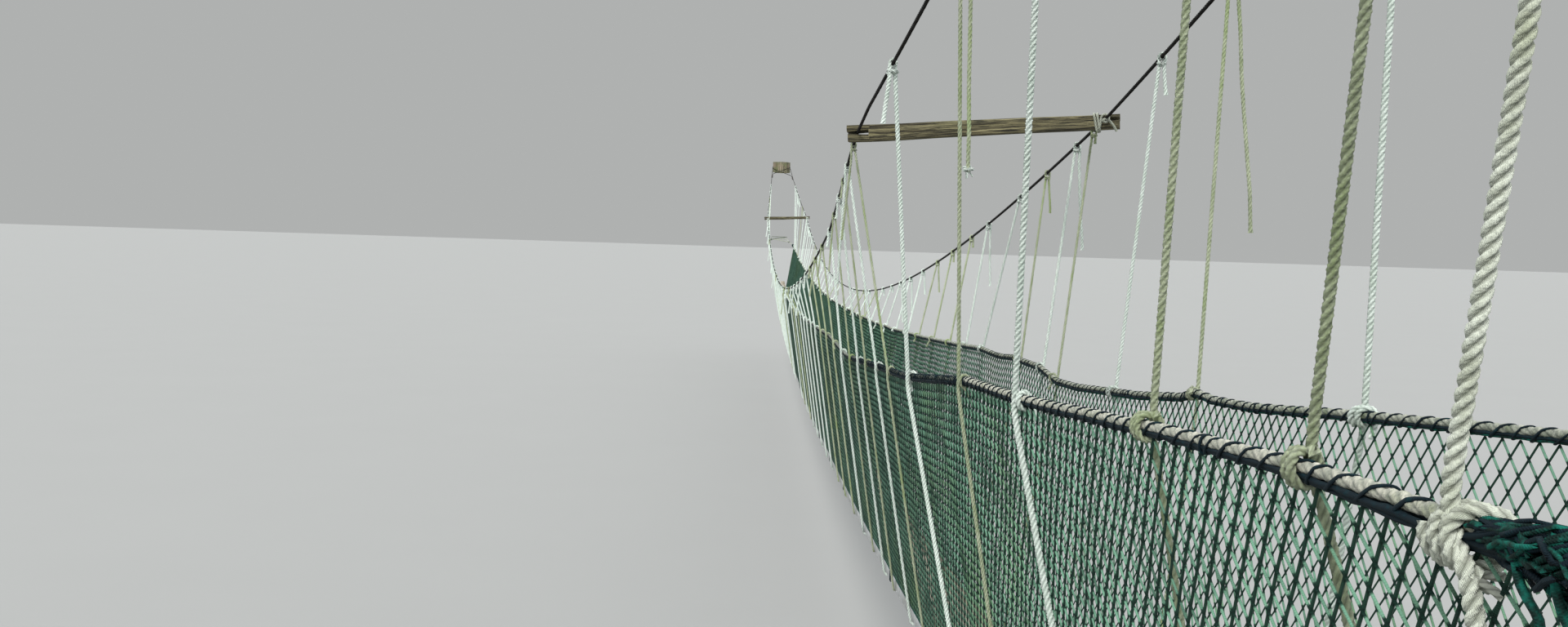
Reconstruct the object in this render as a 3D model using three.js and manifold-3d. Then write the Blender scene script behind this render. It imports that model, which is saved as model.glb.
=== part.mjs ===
// Rope suspension footbridge hung between two trees: two sagging steel cables, rope hangers that pass
// under a narrow ladder-and-plank deck, rope handrails, side nets and a timber spreader beam at each end.
//
// Millimetres. +Y runs along the bridge from the near tree to the far one, +X is across, +Z is up.
// The origin is the middle of the flat face that bears on the back of the near tree's trunk.

import * as THREE from "three";
import { mergeVertices } from "three/addons/utils/BufferGeometryUtils.js";
import Module from "manifold-3d";

const wasm = await Module();
wasm.setup();

// Driving dimensions: the trees and the timber rings on them
const TRUNK_ACROSS = 420;
const TREE_SPACING = 36510;
const PACKING_THICK = 35;
const PACKING_TALL = 300;
const TRUNK_SIDES = 12;

// Driving dimensions: what hangs between the trees
const CABLE_R = 8;
const CABLE_SAG = 2663;
const CABLE_HALF_SPACING = 460;
const CABLE_LOOP_STEP = 40;
const RAIL_R = 14;
const RAIL_SAG = 887;
const RAIL_HALF_SPACING = 330;
const RAIL_BELOW_CABLE = 2015;
const RAIL_LOOP_STEP = 60;
const RAIL_FULL_WIDTH_AT = 2500;
const EYES_SETTLE_BY = 2300;
const HANGER_R = 9.5;

// Driving dimensions: the deck, the nets and the spreader beams
const DECK_BELOW_RAIL = 1100;
const DECK_HALF_WIDTH = 150;
const DECK_END = 1300;
const DECK_SECTIONS = 6;
const PLANK_THICK = 25;
const PLANK_STAGGER = 900;
const STRINGER_DEEP = 60;
const STRINGER_THICK = 25;
const RUNG_SIZE = 28;
const RUNG_PITCH = 300;
const JOINT_GAP = 6;
const NET_THICK = 4;
const NET_END = 2520;
const BEAM_AT = 6410;
const BEAM_SKEW = 340;
const BEAM_PAST_LEFT = 100;
const BEAM_PAST_RIGHT = 60;
const BEAM_TALL = 72;
const BEAM_DEEP = 60;

// Clearance between pieces that touch, and the stations of every swept curve
const SEAT = 0.3;
const STATIONS = 26;
const ROPE_SIDES = 6;
const FLAT = Math.cos(Math.PI / ROPE_SIDES);

// Worked out from the driving dimensions
const NEAR_TREE = TRUNK_ACROSS / 2;
const FAR_TREE = NEAR_TREE + TREE_SPACING;
const MIDDLE = (NEAR_TREE + FAR_TREE) / 2;
const HALF = TREE_SPACING / 2;
const UP = new THREE.Vector3(0, 0, 1);
const ALONG = new THREE.Vector3(0, 1, 0);

const finishes = {
  steelRope: { color: 0x2b2a29, roughness: 0.6, metalness: 0.8 },
  handrailRope: { color: 0xb3ae97, roughness: 0.9, metalness: 0 },
  whiteRope: { color: 0xcfd3cb, roughness: 0.85, metalness: 0 },
  oldRope: { color: 0xa3a272, roughness: 0.9, metalness: 0 },
  netTwine: { color: 0x1f4a3c, roughness: 0.8, metalness: 0 },
  aluminium: { color: 0xa7a9aa, roughness: 0.5, metalness: 0.9 },
  deckTimber: { color: 0x8a7860, roughness: 0.85, metalness: 0 },
  beamTimber: { color: 0x6b5644, roughness: 0.9, metalness: 0 },
};

const bridge = new THREE.Group();

function addPiece(name, geometry, finish) {
  const material = new THREE.MeshStandardMaterial(finishes[finish]);
  const mesh = new THREE.Mesh(geometry, material);
  mesh.name = name;
  bridge.add(mesh);
}

// Joining and cutting of closed meshes
function solidFrom(geometry) {
  const bare = geometry.clone();
  bare.deleteAttribute("normal");
  bare.deleteAttribute("uv");
  const merged = mergeVertices(bare, 1e-4);
  const triVerts = new Uint32Array(merged.index.array);
  const vertProperties = new Float32Array(merged.attributes.position.array);
  return new wasm.Manifold(new wasm.Mesh({ numProp: 3, vertProperties, triVerts }));
}

function geometryFrom(solid) {
  const mesh = solid.getMesh();
  const geometry = new THREE.BufferGeometry();
  geometry.setAttribute("position", new THREE.BufferAttribute(mesh.vertProperties, 3));
  geometry.setIndex(new THREE.BufferAttribute(mesh.triVerts, 1));
  const faceted = geometry.toNonIndexed();
  faceted.computeVertexNormals();
  return faceted;
}

function joined(geometries) {
  const solids = geometries.map(solidFrom);
  return geometryFrom(solids.reduce((whole, solid) => whole.add(solid)));
}

function box(width, depth, height, x, y, z) {
  return new THREE.BoxGeometry(width, depth, height).translate(x, y, z);
}

// A rope's route: straight runs between its points, with a section that keeps its flats square
// to the keeper direction instead of rolling along the way.
class RopeRoute extends THREE.Curve {
  constructor(points, keeper) {
    super();
    this.points = points;
    this.keeper = keeper;
    this.runs = points.length - 1;
  }
  getPoint(t, target = new THREE.Vector3()) {
    const place = t * this.runs;
    const run = Math.min(Math.floor(place + 1e-9), this.runs - 1);
    return target.lerpVectors(this.points[run], this.points[run + 1], place - run);
  }
  getPointAt(t, target) {
    return this.getPoint(t, target);
  }
  directionOf(run) {
    const clamped = Math.max(0, Math.min(run, this.runs - 1));
    return this.points[clamped + 1].clone().sub(this.points[clamped]).normalize();
  }
  computeFrenetFrames(steps) {
    const tangents = [];
    const normals = [];
    const binormals = [];
    for (let i = 0; i <= steps; i++) {
      const tangent = this.directionOf(i - 1).add(this.directionOf(i)).normalize();
      const normal = this.keeper.clone().cross(tangent).normalize();
      tangents.push(tangent);
      normals.push(normal);
      binormals.push(tangent.clone().cross(normal));
    }
    return { tangents, normals, binormals };
  }
}

// A route whose section is carried along without turning, so that heights stay true above the curve
class UprightRoute extends RopeRoute {
  computeFrenetFrames(steps) {
    const tangents = [...Array(steps + 1).keys()].map((i) => this.directionOf(i));
    const normals = tangents.map(() => new THREE.Vector3(-1, 0, 0));
    const binormals = tangents.map(() => UP.clone());
    return { tangents, normals, binormals };
  }
}

// A six-sided section with a flat on each side and an edge above and below
function ropeSection(radius) {
  const section = new THREE.Shape();
  for (let i = 0; i < ROPE_SIDES; i++) {
    const angle = ((i + 0.5) / ROPE_SIDES) * 2 * Math.PI;
    const move = i ? "lineTo" : "moveTo";
    section[move](radius * Math.cos(angle), radius * Math.sin(angle));
  }
  section.closePath();
  return section;
}

function rope(points, radius, keeper) {
  const extrudePath = new RopeRoute(points, keeper);
  return new THREE.ExtrudeGeometry(ropeSection(radius), {
    steps: points.length - 1,
    bevelEnabled: false,
    extrudePath,
  });
}

// A section of corners [x, z] carried along a curve of heights from one y to another
function swept(corners, heightAt, from, to) {
  const section = new THREE.Shape(corners.map(([x, z]) => new THREE.Vector2(-x, z)));
  const ys = [from, ...stations.filter((y) => y > from + 1 && y < to - 1), to];
  const extrudePath = new UprightRoute(ys.map((y) => new THREE.Vector3(0, y, heightAt(y))), UP);
  return new THREE.ExtrudeGeometry(section, { steps: ys.length - 1, bevelEnabled: false, extrudePath });
}

function rectangle(left, right, low, high) {
  return [[left, low], [right, low], [right, high], [left, high]];
}

// A curve sampled at the stations, so that every piece that follows it bends at the same places
const stationSpacing = TREE_SPACING / STATIONS;
const stationAt = (i) => NEAR_TREE + i * stationSpacing;
const stations = [...Array(STATIONS + 1).keys()].map(stationAt);

function sampled(curve) {
  return (y) => {
    const place = (y - NEAR_TREE) / stationSpacing;
    const i = Math.max(0, Math.min(Math.floor(place), STATIONS - 1));
    return THREE.MathUtils.lerp(curve(stationAt(i)), curve(stationAt(i + 1)), place - i);
  };
}

const sagged = (sag) => (y) => sag * ((y - MIDDLE) ** 2 / HALF ** 2 - 1);
const cableZ = sampled(sagged(CABLE_SAG));
const railSag = sampled(sagged(RAIL_SAG));
const railZ = (y) => railSag(y) - RAIL_BELOW_CABLE;
const deckZ = (y) => railZ(y) - DECK_BELOW_RAIL;
const mirrorY = (y) => NEAR_TREE + FAR_TREE - y;
const slopeAt = (height, y) => {
  const rises = [height(y + 5) - height(y), height(y) - height(y - 5)];
  return Math.max(...rises.map(Math.abs)) / 5;
};

// Half spacing of the two cables or two handrails: the trunk's at the trees, the full one further in
function halfSpacing(atTree, leavesAt, full, fullAt) {
  return (y) => {
    const fromTree = Math.min(y, NEAR_TREE + FAR_TREE - y);
    const share = THREE.MathUtils.clamp((fromTree - leavesAt) / (fullAt - leavesAt), 0, 1);
    return THREE.MathUtils.lerp(atTree, full, share);
  };
}

const packingHalf = TRUNK_ACROSS / 2 + PACKING_THICK;
const cableLoopHalf = packingHalf + CABLE_R * FLAT + 2 * SEAT;
const railLoopHalf = TRUNK_ACROSS / 2 + RAIL_R * FLAT + 2 * SEAT;
const loopCorner = Math.tan(Math.PI / TRUNK_SIDES);
const cableX = halfSpacing(
  cableLoopHalf, NEAR_TREE + cableLoopHalf * loopCorner, CABLE_HALF_SPACING, BEAM_AT);
const railX = halfSpacing(
  railLoopHalf, NEAR_TREE + railLoopHalf * loopCorner, RAIL_HALF_SPACING, RAIL_FULL_WIDTH_AT);

// The eye at the near end of a rope: the tail lies beside the rope's inner side, crosses in front
// of the trunk, goes round its back and comes out as the rope. side is -1 on the left, 1 on the right.
function nearEye({ side, loopHalf, radius, x, z, tailFrom, tailTo, lift }) {
  const beside = (y) => side * (x(y) - 2 * radius - SEAT);
  const points = [tailFrom, tailTo].map((y) => new THREE.Vector3(beside(y), y, z(y) + lift));
  const circumradius = loopHalf / Math.cos(Math.PI / TRUNK_SIDES);
  for (let i = 0; i < TRUNK_SIDES / 2 + 2; i++) {
    const angle = ((1.5 - i) / TRUNK_SIDES) * 2 * Math.PI;
    const px = -side * circumradius * Math.cos(angle);
    const py = NEAR_TREE + circumradius * Math.sin(angle);
    points.push(new THREE.Vector3(px, py, z(Math.max(py, NEAR_TREE)) + lift));
  }
  return points;
}

function mirroredToFar(points) {
  const far = points.map((p) => new THREE.Vector3(p.x, NEAR_TREE + FAR_TREE - p.y, p.z));
  return far.reverse();
}

// A rope from an eye round the near tree to an eye round the far one, as three solids: the line and
// the two eyes, which meet it end to end just past their tails. The two ropes of a pair are lifted
// apart at the trees and settle to one height by the first hanger.
function treeToTree({
  side, loopHalf, radius, x, height, tailFrom, tailTo, eyeEnds, loopStep, kinks, grip,
}) {
  const lift = (-side * loopStep) / 2;
  const z = (y) => {
    const fromTree = Math.min(y, mirrorY(y));
    const share = (fromTree - tailFrom) / (EYES_SETTLE_BY - tailFrom);
    return height(y) - lift * THREE.MathUtils.clamp(share, 0, 1);
  };
  const at = (y) => new THREE.Vector3(side * x(y), y, z(y) + lift);
  const loop = nearEye({ side, loopHalf, radius, x, z, tailFrom, tailTo, lift });
  const nearPoints = [...loop, at(tailFrom), at(eyeEnds)];
  const half = [EYES_SETTLE_BY, ...kinks];
  const ys = [...stations, ...half, ...half.map(mirrorY)].sort((a, b) => a - b);
  const starts = eyeEnds + SEAT;
  const linePoints = [starts, ...ys.filter((y) => y > starts && mirrorY(y) > starts), mirrorY(starts)];
  const grips = [];
  for (let i = 0; i < grip.count; i++) {
    const y = THREE.MathUtils.lerp(tailTo, tailFrom, (i + 0.5) / grip.count);
    const middleX = side * (x(y) - radius - SEAT / 2);
    grips.push([4 * radius + grip.over, grip.along, grip.tall, middleX, y, z(y) + lift]);
  }
  const farGrips = grips.map(([width, along, tall, gx, gy, gz]) => [width, along, tall, gx, mirrorY(gy), gz]);
  return {
    line: rope(linePoints.map(at), radius, UP),
    nearEyeSolid: joined([rope(nearPoints, radius, UP), ...grips.map((sizes) => box(...sizes))]),
    farEyeSolid: joined([
      rope(mirroredToFar(nearPoints), radius, UP), ...farGrips.map((sizes) => box(...sizes))]),
  };
}

function addRope(rope, lineName, eyeName, finish) {
  addPiece(lineName, rope.line, finish);
  addPiece(eyeName + "_near", rope.nearEyeSolid, finish);
  addPiece(eyeName + "_far", rope.farEyeSolid, finish);
}

const hands = [["left", -1], ["right", 1]];

// Main cables, each closed by three wire rope grips at each eye
for (const [name, side] of hands) {
  const cable = treeToTree({
    side,
    loopHalf: cableLoopHalf,
    radius: CABLE_R,
    x: cableX,
    height: cableZ,
    tailFrom: 1560,
    tailTo: 1120,
    eyeEnds: 1590,
    loopStep: CABLE_LOOP_STEP,
    kinks: [BEAM_AT],
    grip: { over: 14, along: 26, tall: 30, count: 3 },
  });
  addRope(cable, "main_cable_" + name, "cable_eye_" + name, "steelRope");
}

// Handrail ropes, tied back on themselves with one long seizing at each eye
for (const [name, side] of hands) {
  const rail = treeToTree({
    side,
    loopHalf: railLoopHalf,
    radius: RAIL_R,
    x: railX,
    height: railZ,
    tailFrom: 1250,
    tailTo: 950,
    eyeEnds: 1300,
    loopStep: RAIL_LOOP_STEP,
    kinks: [RAIL_FULL_WIDTH_AT],
    grip: { over: 10, along: 110, tall: 2 * RAIL_R + 8, count: 1 },
  });
  addRope(rail, "handrail_rope_" + name, "handrail_eye_" + name, "handrailRope");
}

// Timber rings that keep the cables off the bark, twelve-sided so that every inner face is flat
function treePacking(centreY) {
  const corner = (half, i) => {
    const angle = ((i + 0.5) / TRUNK_SIDES) * 2 * Math.PI;
    const radius = half / Math.cos(Math.PI / TRUNK_SIDES);
    return new THREE.Vector2(radius * Math.cos(angle), radius * Math.sin(angle));
  };
  const turns = [...Array(TRUNK_SIDES).keys()];
  const ring = new THREE.Shape(turns.map((i) => corner(packingHalf, i)));
  ring.holes.push(new THREE.Path(turns.map((i) => corner(TRUNK_ACROSS / 2, i)).reverse()));
  const staves = new THREE.ExtrudeGeometry(ring, { depth: PACKING_TALL, bevelEnabled: false });
  return staves.translate(0, centreY, -PACKING_TALL / 2);
}

addPiece("tree_packing_near", treePacking(NEAR_TREE), "beamTimber");
addPiece("tree_packing_far", treePacking(FAR_TREE), "beamTimber");

// Spreader beams, with a saw kerf in each end that the cable lies in. They lie askew: the left end is
// further from the tree, and so lower on its cable. ys holds where the left and right cable cross.
function spreaderBeam(ys) {
  const [left, right] = hands.map(
    ([, side], i) => new THREE.Vector3(side * CABLE_HALF_SPACING, ys[i], cableZ(ys[i])));
  const along = right.clone().sub(left).normalize();
  const across = UP.clone().cross(along).normalize();
  const length = left.distanceTo(right) + BEAM_PAST_LEFT + BEAM_PAST_RIGHT;
  const middle = left.clone().add(right).multiplyScalar(0.5);
  middle.addScaledVector(along, (BEAM_PAST_RIGHT - BEAM_PAST_LEFT) / 2);
  const bar = box(length, BEAM_DEEP, BEAM_TALL, 0, 0, 0);
  bar.applyMatrix4(new THREE.Matrix4().makeBasis(along, across, along.clone().cross(across)));
  bar.translate(middle.x, middle.y, middle.z);
  let beam = solidFrom(bar);
  hands.forEach(([, side], i) => {
    const slope = (cableZ(ys[i] + 5) - cableZ(ys[i] - 5)) / 10;
    const drift = (slopeAt(cableX, ys[i]) + slopeAt(cableX, mirrorY(ys[i]))) * BEAM_DEEP;
    const innerWall = CABLE_HALF_SPACING - CABLE_R * FLAT - SEAT - drift;
    const kerfTall = 2 * (CABLE_R + SEAT * Math.hypot(1, slope));
    const kerf = new THREE.BoxGeometry(length / 2, 5 * BEAM_DEEP, kerfTall);
    kerf.rotateX(Math.atan(slope));
    kerf.translate(side * (innerWall + length / 4), ys[i], cableZ(ys[i]));
    beam = beam.subtract(solidFrom(kerf));
  });
  return geometryFrom(beam);
}

const beamCrossings = [BEAM_AT + BEAM_SKEW, BEAM_AT];
addPiece("spreader_beam_near", spreaderBeam(beamCrossings), "beamTimber");
addPiece("spreader_beam_far", spreaderBeam(beamCrossings.map(mirrorY)), "beamTimber");

// Deck: aluminium ladders laid end to end, with plank runs on top whose joints are staggered
const deckLength = FAR_TREE + NEAR_TREE - 2 * DECK_END;
const ladderJoints = [...Array(DECK_SECTIONS + 1).keys()].map(
  (i) => DECK_END + (i * deckLength) / DECK_SECTIONS);
const plankJoints = ladderJoints.map((y, i) => (i > 0 && i < DECK_SECTIONS ? y + PLANK_STAGGER : y));
const ladderTop = (y) => deckZ(y) - PLANK_THICK - SEAT;
const ladderBottom = (y) => ladderTop(y) - STRINGER_DEEP;

function ladder(from, to) {
  const outer = DECK_HALF_WIDTH;
  const inner = DECK_HALF_WIDTH - STRINGER_THICK;
  const pieces = [
    swept(rectangle(-outer, -inner, -STRINGER_DEEP, 0), ladderTop, from, to),
    swept(rectangle(inner, outer, -STRINGER_DEEP, 0), ladderTop, from, to),
  ];
  const count = Math.round((to - from) / RUNG_PITCH);
  for (let i = 0; i < count; i++) {
    const y = THREE.MathUtils.lerp(from, to, (i + 0.5) / count);
    const z = ladderTop(y) - STRINGER_DEEP / 2;
    pieces.push(box(inner + outer, RUNG_SIZE, RUNG_SIZE, 0, y, z));
  }
  return joined(pieces);
}

for (let i = 0; i < DECK_SECTIONS; i++) {
  const trim = (y, end) => (y === DECK_END || y === mirrorY(DECK_END) ? y : y + (end * JOINT_GAP) / 2);
  const ladderFrom = trim(ladderJoints[i], 1);
  const ladderTo = trim(ladderJoints[i + 1], -1);
  addPiece("deck_ladder_" + (i + 1), ladder(ladderFrom, ladderTo), "aluminium");
  const planks = swept(
    rectangle(-DECK_HALF_WIDTH, DECK_HALF_WIDTH, -PLANK_THICK, 0),
    deckZ, trim(plankJoints[i], 1), trim(plankJoints[i + 1], -1));
  addPiece("deck_planks_" + (i + 1), planks, "deckTimber");
}

// Side nets, laced under the handrail rope and along the edge of the planks
function sideNet(side) {
  const top = -RAIL_R / Math.cos(Math.atan(slopeAt(railZ, NET_END))) - SEAT;
  const foot = -DECK_BELOW_RAIL - PLANK_THICK + 1;
  const footX = DECK_HALF_WIDTH + 2 * SEAT;
  const corners = [
    [side * (RAIL_HALF_SPACING - NET_THICK / 2), top],
    [side * (RAIL_HALF_SPACING + NET_THICK / 2), top],
    [side * (footX + NET_THICK), foot],
    [side * footX, foot],
  ];
  return swept(side < 0 ? corners : corners.reverse(), railZ, NET_END, mirrorY(NET_END));
}

for (const [name, side] of hands) {
  addPiece("side_net_" + name, sideNet(side), "netTwine");
}

// Hanger ropes. Stations along Y of the near half: at the cable, at the handrail and at the deck,
// first on the left and then on the right. The far half repeats them mirrored.
const hangerStations = [
  [[2480, 2580, 2520], [2500, 2580, 2420]],
  [[2730, 2890, 2640], [2930, 3000, 2780]],
  [[3275, 3400, 3335], [3400, 3430, 3220]],
  [[4100, 4270, 3950], [4130, 4110, 4000]],
  [[4845, 4990, 4870], [5140, 5020, 4850]],
  [[5900, 6020, 5620], [5740, 5780, 5660]],
  [[6950, 6670, 6550], [6600, 6560, 6580]],
  [[7330, 7110, 7000], [6850, 6810, 6980]],
  [[7650, 7600, 7640], [7350, 7230, 7420]],
  [[8030, 8000, 8040], [7900, 8140, 8000]],
  [[8540, 8500, 8600], [8700, 8650, 8650]],
  [[9110, 9080, 9180], [9220, 9200, 9240]],
  [[9820, 9790, 9860], [9900, 9860, 9900]],
  [[10560, 10500, 10590], [10540, 10560, 10620]],
  [[11230, 11190, 11260], [11250, 11200, 11290]],
  [[11910, 11900, 11950], [11960, 11930, 11990]],
  [[12600, 12560, 12630], [12620, 12640, 12650]],
  [[13290, 13270, 13330], [13270, 13300, 13320]],
  [[13960, 13930, 14000], [14010, 13980, 14020]],
  [[14650, 14620, 14680], [14640, 14670, 14700]],
  [[15330, 15300, 15360], [15370, 15340, 15380]],
  [[16020, 15990, 16050], [16010, 16040, 16070]],
  [[16710, 16680, 16740], [16740, 16710, 16760]],
  [[17430, 17400, 17420], [17410, 17440, 17450]],
];
const TAILS = [420, 450, 560, 150, 180, 600, 240, 380, 660, 130, 210, 730];
const SHORT_TAILS_FROM = 8;

// One side of a hanger: its tail, the turn over the cable, the run to the handrail's outer side, and
// the run to the ladder's lower corner
function hangerSide(side, [cableY, railY, deckY], tail) {
  const slope = slopeAt(cableZ, cableY);
  const cableTop = CABLE_R * Math.hypot(1, slope) + (slope * HANGER_R) / 2 + 4 * SEAT;
  const turn = cableTop / Math.cos(Math.PI / 4) + HANGER_R * FLAT;
  const cx = cableX(cableY);
  const cz = cableZ(cableY);
  const at = (x, y, z) => new THREE.Vector3(side * x, y, z);
  const points = [at(cx + turn, cableY, cz - tail)];
  for (let i = 0; i < 3; i++) {
    const angle = (i * Math.PI) / 2;
    points.push(at(cx + turn * Math.cos(angle), cableY, cz + turn * Math.sin(angle)));
  }
  const flat = HANGER_R * FLAT;
  const leanIn = (RAIL_HALF_SPACING - DECK_HALF_WIDTH) / DECK_BELOW_RAIL;
  const railOuter = RAIL_HALF_SPACING + RAIL_R * FLAT + (leanIn * RAIL_R) / 2;
  points.push(at(railOuter + SEAT + flat, railY, railZ(railY)));
  const round = flat + 2 * SEAT + (slopeAt(deckZ, deckY) * HANGER_R) / 2;
  const cut = round * Math.tan(Math.PI / 8);
  points.push(at(DECK_HALF_WIDTH + round, deckY, ladderBottom(deckY) - cut));
  points.push(at(DECK_HALF_WIDTH + cut, deckY, ladderBottom(deckY) - round));
  return points;
}

function hanger(left, right, leftTail, rightTail) {
  const down = hangerSide(-1, left, leftTail);
  const up = hangerSide(1, right, rightTail).reverse();
  return rope([...down, ...up], HANGER_R, ALONG);
}

// Neighbouring hangers cross under the deck, where they bind on each other and stop it sliding
const farStations = hangerStations.map(
  (pair) => pair.map((ys) => ys.map(mirrorY))).reverse();
const allStations = [...hangerStations, ...farStations];
for (let i = 0; i < allStations.length; i += 2) {
  const [first, second] = [allStations[i], allStations[i + 1]];
  const tail = (k) => TAILS[(i * 2 + k) % TAILS.length] / (i < SHORT_TAILS_FROM ? 1 : 2);
  const pair = joined([
    hanger(first[0], second[1], tail(0), tail(1)),
    hanger(second[0], first[1], tail(2), tail(3)),
  ]);
  const number = String(i / 2 + 1).padStart(2, "0");
  addPiece("hanger_pair_" + number, pair, (i / 2) % 2 ? "oldRope" : "whiteRope");
}

export default bridge;
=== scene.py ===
"""Looks of a rope suspension footbridge: two sagging wire rope cables, laid rope hangers, laced rope
handrails, knotted side nets, spreader beams and a plank deck on ladders.

Metres. +Y runs along the bridge from its near end to its far one, +X is across and +Z is up.
"""
import logging
from collections.abc import Callable
from dataclasses import dataclass, field, replace
from enum import Enum

import bpy
import numpy as np
from mathutils import Matrix


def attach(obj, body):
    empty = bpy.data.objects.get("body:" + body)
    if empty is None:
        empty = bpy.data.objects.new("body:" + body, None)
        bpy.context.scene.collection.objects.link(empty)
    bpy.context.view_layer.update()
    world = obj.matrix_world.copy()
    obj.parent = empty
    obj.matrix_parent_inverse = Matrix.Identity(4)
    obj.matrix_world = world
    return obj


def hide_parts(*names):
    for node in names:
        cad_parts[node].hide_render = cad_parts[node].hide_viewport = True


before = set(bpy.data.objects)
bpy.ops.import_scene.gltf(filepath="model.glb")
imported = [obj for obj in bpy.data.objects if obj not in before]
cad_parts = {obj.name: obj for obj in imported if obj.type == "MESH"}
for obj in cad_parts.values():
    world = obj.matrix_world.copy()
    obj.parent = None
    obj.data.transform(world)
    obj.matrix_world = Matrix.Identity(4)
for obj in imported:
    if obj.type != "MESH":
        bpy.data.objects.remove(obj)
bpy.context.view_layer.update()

log = logging.getLogger("footbridge")
Array = np.ndarray
Socket = bpy.types.NodeSocket
Colour = tuple[float, float, float]
Curve = Callable[[Array], Array]
Face = Callable[[Array, Array], Array]

BODY = "root"
UP = np.array([0.0, 0.0, 1.0])
ALONG = np.array([0.0, 1.0, 0.0])
TURN = 2 * np.pi


class Side(Enum):
    """The two sides of the bridge, as the sign of X."""

    LEFT = -1
    RIGHT = 1


class Lay(Enum):
    """The hand of a helix: right-handed laid rope shows slanting strokes like the middle of a Z."""

    RIGHT = 1
    LEFT = -1


# The curves that every piece follows


def between(table: tuple, place: Array | float) -> Array:
    """A table of places and sizes, read at any place along straight runs between its rows."""
    rows = np.asarray(table, float)
    return np.interp(place, rows[:, 0], rows[:, 1])


@dataclass(frozen=True)
class Lines:
    """The driving sizes of the bridge and the curves that its pieces follow."""

    post_across: float = 0.420
    end_spacing: float = 36.510
    packing_thick: float = 0.035
    packing_tall: float = 0.300
    cable_r: float = 0.0070
    cable_sag: float = 2.663
    cable_half: float = 0.460
    cable_half_at_end: float = 0.2525
    cable_step: float = 0.040
    rope_r: float = 0.0090
    rope_up: float = 0.0040
    wrap_wide: float = 0.0100
    wrap_tall: float = 0.0134
    rail_sag: float = 0.887
    rail_half: float = 0.330
    rail_half_at_end: float = 0.2227
    rail_full_at: float = 2.500
    rail_below: float = 2.015
    rail_step: float = 0.060
    eyes_settle: float = 2.300
    deck_below: float = 1.100
    deck_half: float = 0.150
    deck_end: float = 1.300
    plank_thick: float = 0.025
    stringer_deep: float = 0.060
    net_end: float = 2.520
    beam_at: float = 6.410
    beam_skew: float = 0.340
    left_rail: tuple = ((2.30, -0.024), (2.62, -0.021), (2.73, -0.0125), (2.90, -0.0045), (3.12, -0.0012),
                        (3.40, 0.003), (3.57, 0.0005), (3.74, 0.002), (3.96, 0.0), (4.24, -0.0008),
                        (4.55, 0.0045), (4.92, 0.0115), (5.40, -0.003), (6.15, -0.031), (7.15, -0.034),
                        (8.88, -0.058), (10.35, 0.008), (13.0, 0.018), (17.0, 0.018), (19.0, 0.0))
    right_rail: tuple = ((2.3, -0.004), (3.0, 0.009), (3.51, 0.005), (3.73, 0.0015), (3.95, -0.003),
                         (4.17, -0.0075), (4.39, -0.016), (4.61, -0.022), (4.86, -0.019), (4.99, -0.005),
                         (5.10, -0.0245), (5.50, -0.042), (5.90, -0.049), (6.20, -0.055), (6.50, -0.0495),
                         (6.70, -0.021), (6.80, -0.0045), (7.20, 0.012), (7.30, 0.020), (7.50, 0.014),
                         (7.70, 0.014), (8.10, 0.033), (12.6, 0.018), (17.0, 0.022), (19.0, 0.0))
    left_bow: tuple = ((5.35, 0.0), (6.0, 0.018), (6.75, 0.037), (7.08, 0.035), (8.04, 0.010),
                       (9.13, -0.020), (11.9, -0.020), (17.0, 0.0))

    @property
    def near_end(self) -> float:
        """Y of the near eyes' middle."""
        return self.post_across / 2

    @property
    def far_end(self) -> float:
        """Y of the far eyes' middle."""
        return self.near_end + self.end_spacing

    @property
    def middle(self) -> float:
        """Y of midspan."""
        return (self.near_end + self.far_end) / 2

    @property
    def foot(self) -> float:
        """Height of a net's foot below the handrail's middle."""
        return self.deck_below + self.plank_thick - 0.001

    def mirror(self, y: Array | float) -> Array | float:
        """The same place counted from the far end."""
        return self.near_end + self.far_end - y

    def from_end(self, y: Array | float) -> Array | float:
        """Distance along the bridge measured from the nearer end's origin."""
        return np.minimum(y, self.mirror(y))

    def hang(self, y: Array | float, depth: float) -> Array | float:
        """A parabola that is nought at the ends and lies depth lower at midspan."""
        return depth * (((y - self.middle) / (self.end_spacing / 2)) ** 2 - 1)

    def cable_z(self, y: Array | float) -> Array | float:
        """Height of the main cables' middle."""
        return self.hang(y, self.cable_sag)

    def rail_z(self, y: Array | float) -> Array | float:
        """Height of the handrails' middle, without the small lifts and dips at the hangers."""
        return self.hang(y, self.rail_sag) - self.rail_below

    def deck_z(self, y: Array | float) -> Array | float:
        """Height of the planks' top."""
        return self.rail_z(y) - self.deck_below

    def ladder_bottom(self, y: Array | float) -> Array | float:
        """Height of the ladders' underside."""
        return self.deck_z(y) - self.plank_thick - self.stringer_deep

    def widen(self, y: Array | float, start: float, leaves: float, full: float, full_at: float) -> Array:
        """Half spacing of a pair of ropes that fans out from the end to its full width."""
        share = np.clip((self.from_end(y) - leaves) / (full_at - leaves), 0, 1)
        return start + (full - start) * share

    def cable_x(self, y: Array | float, side: Side) -> Array:
        """Half spacing of a main cable; the left one bows a little where its hangers lean.

        Args:
            y: place along the bridge.
            side: which side of the bridge.

        Returns:
            Distance from the bridge's middle, without a sign.
        """
        leaves = self.near_end + 0.068
        even = self.widen(y, self.cable_half_at_end, leaves, self.cable_half, self.beam_at)
        return even + (between(self.left_bow, y) if side is Side.LEFT else 0.0)

    def rail_x(self, y: Array | float) -> Array:
        """Half spacing of the handrails."""
        leaves = self.near_end + 0.060
        return self.widen(y, self.rail_half_at_end, leaves, self.rail_half, self.rail_full_at)

    def rail_lift(self, y: Array | float, side: Side) -> Array:
        """How far a handrail lies above its even curve: pulled up at hangers, slack between them."""
        slack = 0.004 * eased((self.from_end(y) - 9.0) / 3.0) * ripple(y, 21 + side.value, 1.7)
        return between(self.left_rail if side is Side.LEFT else self.right_rail, y) + slack

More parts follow.
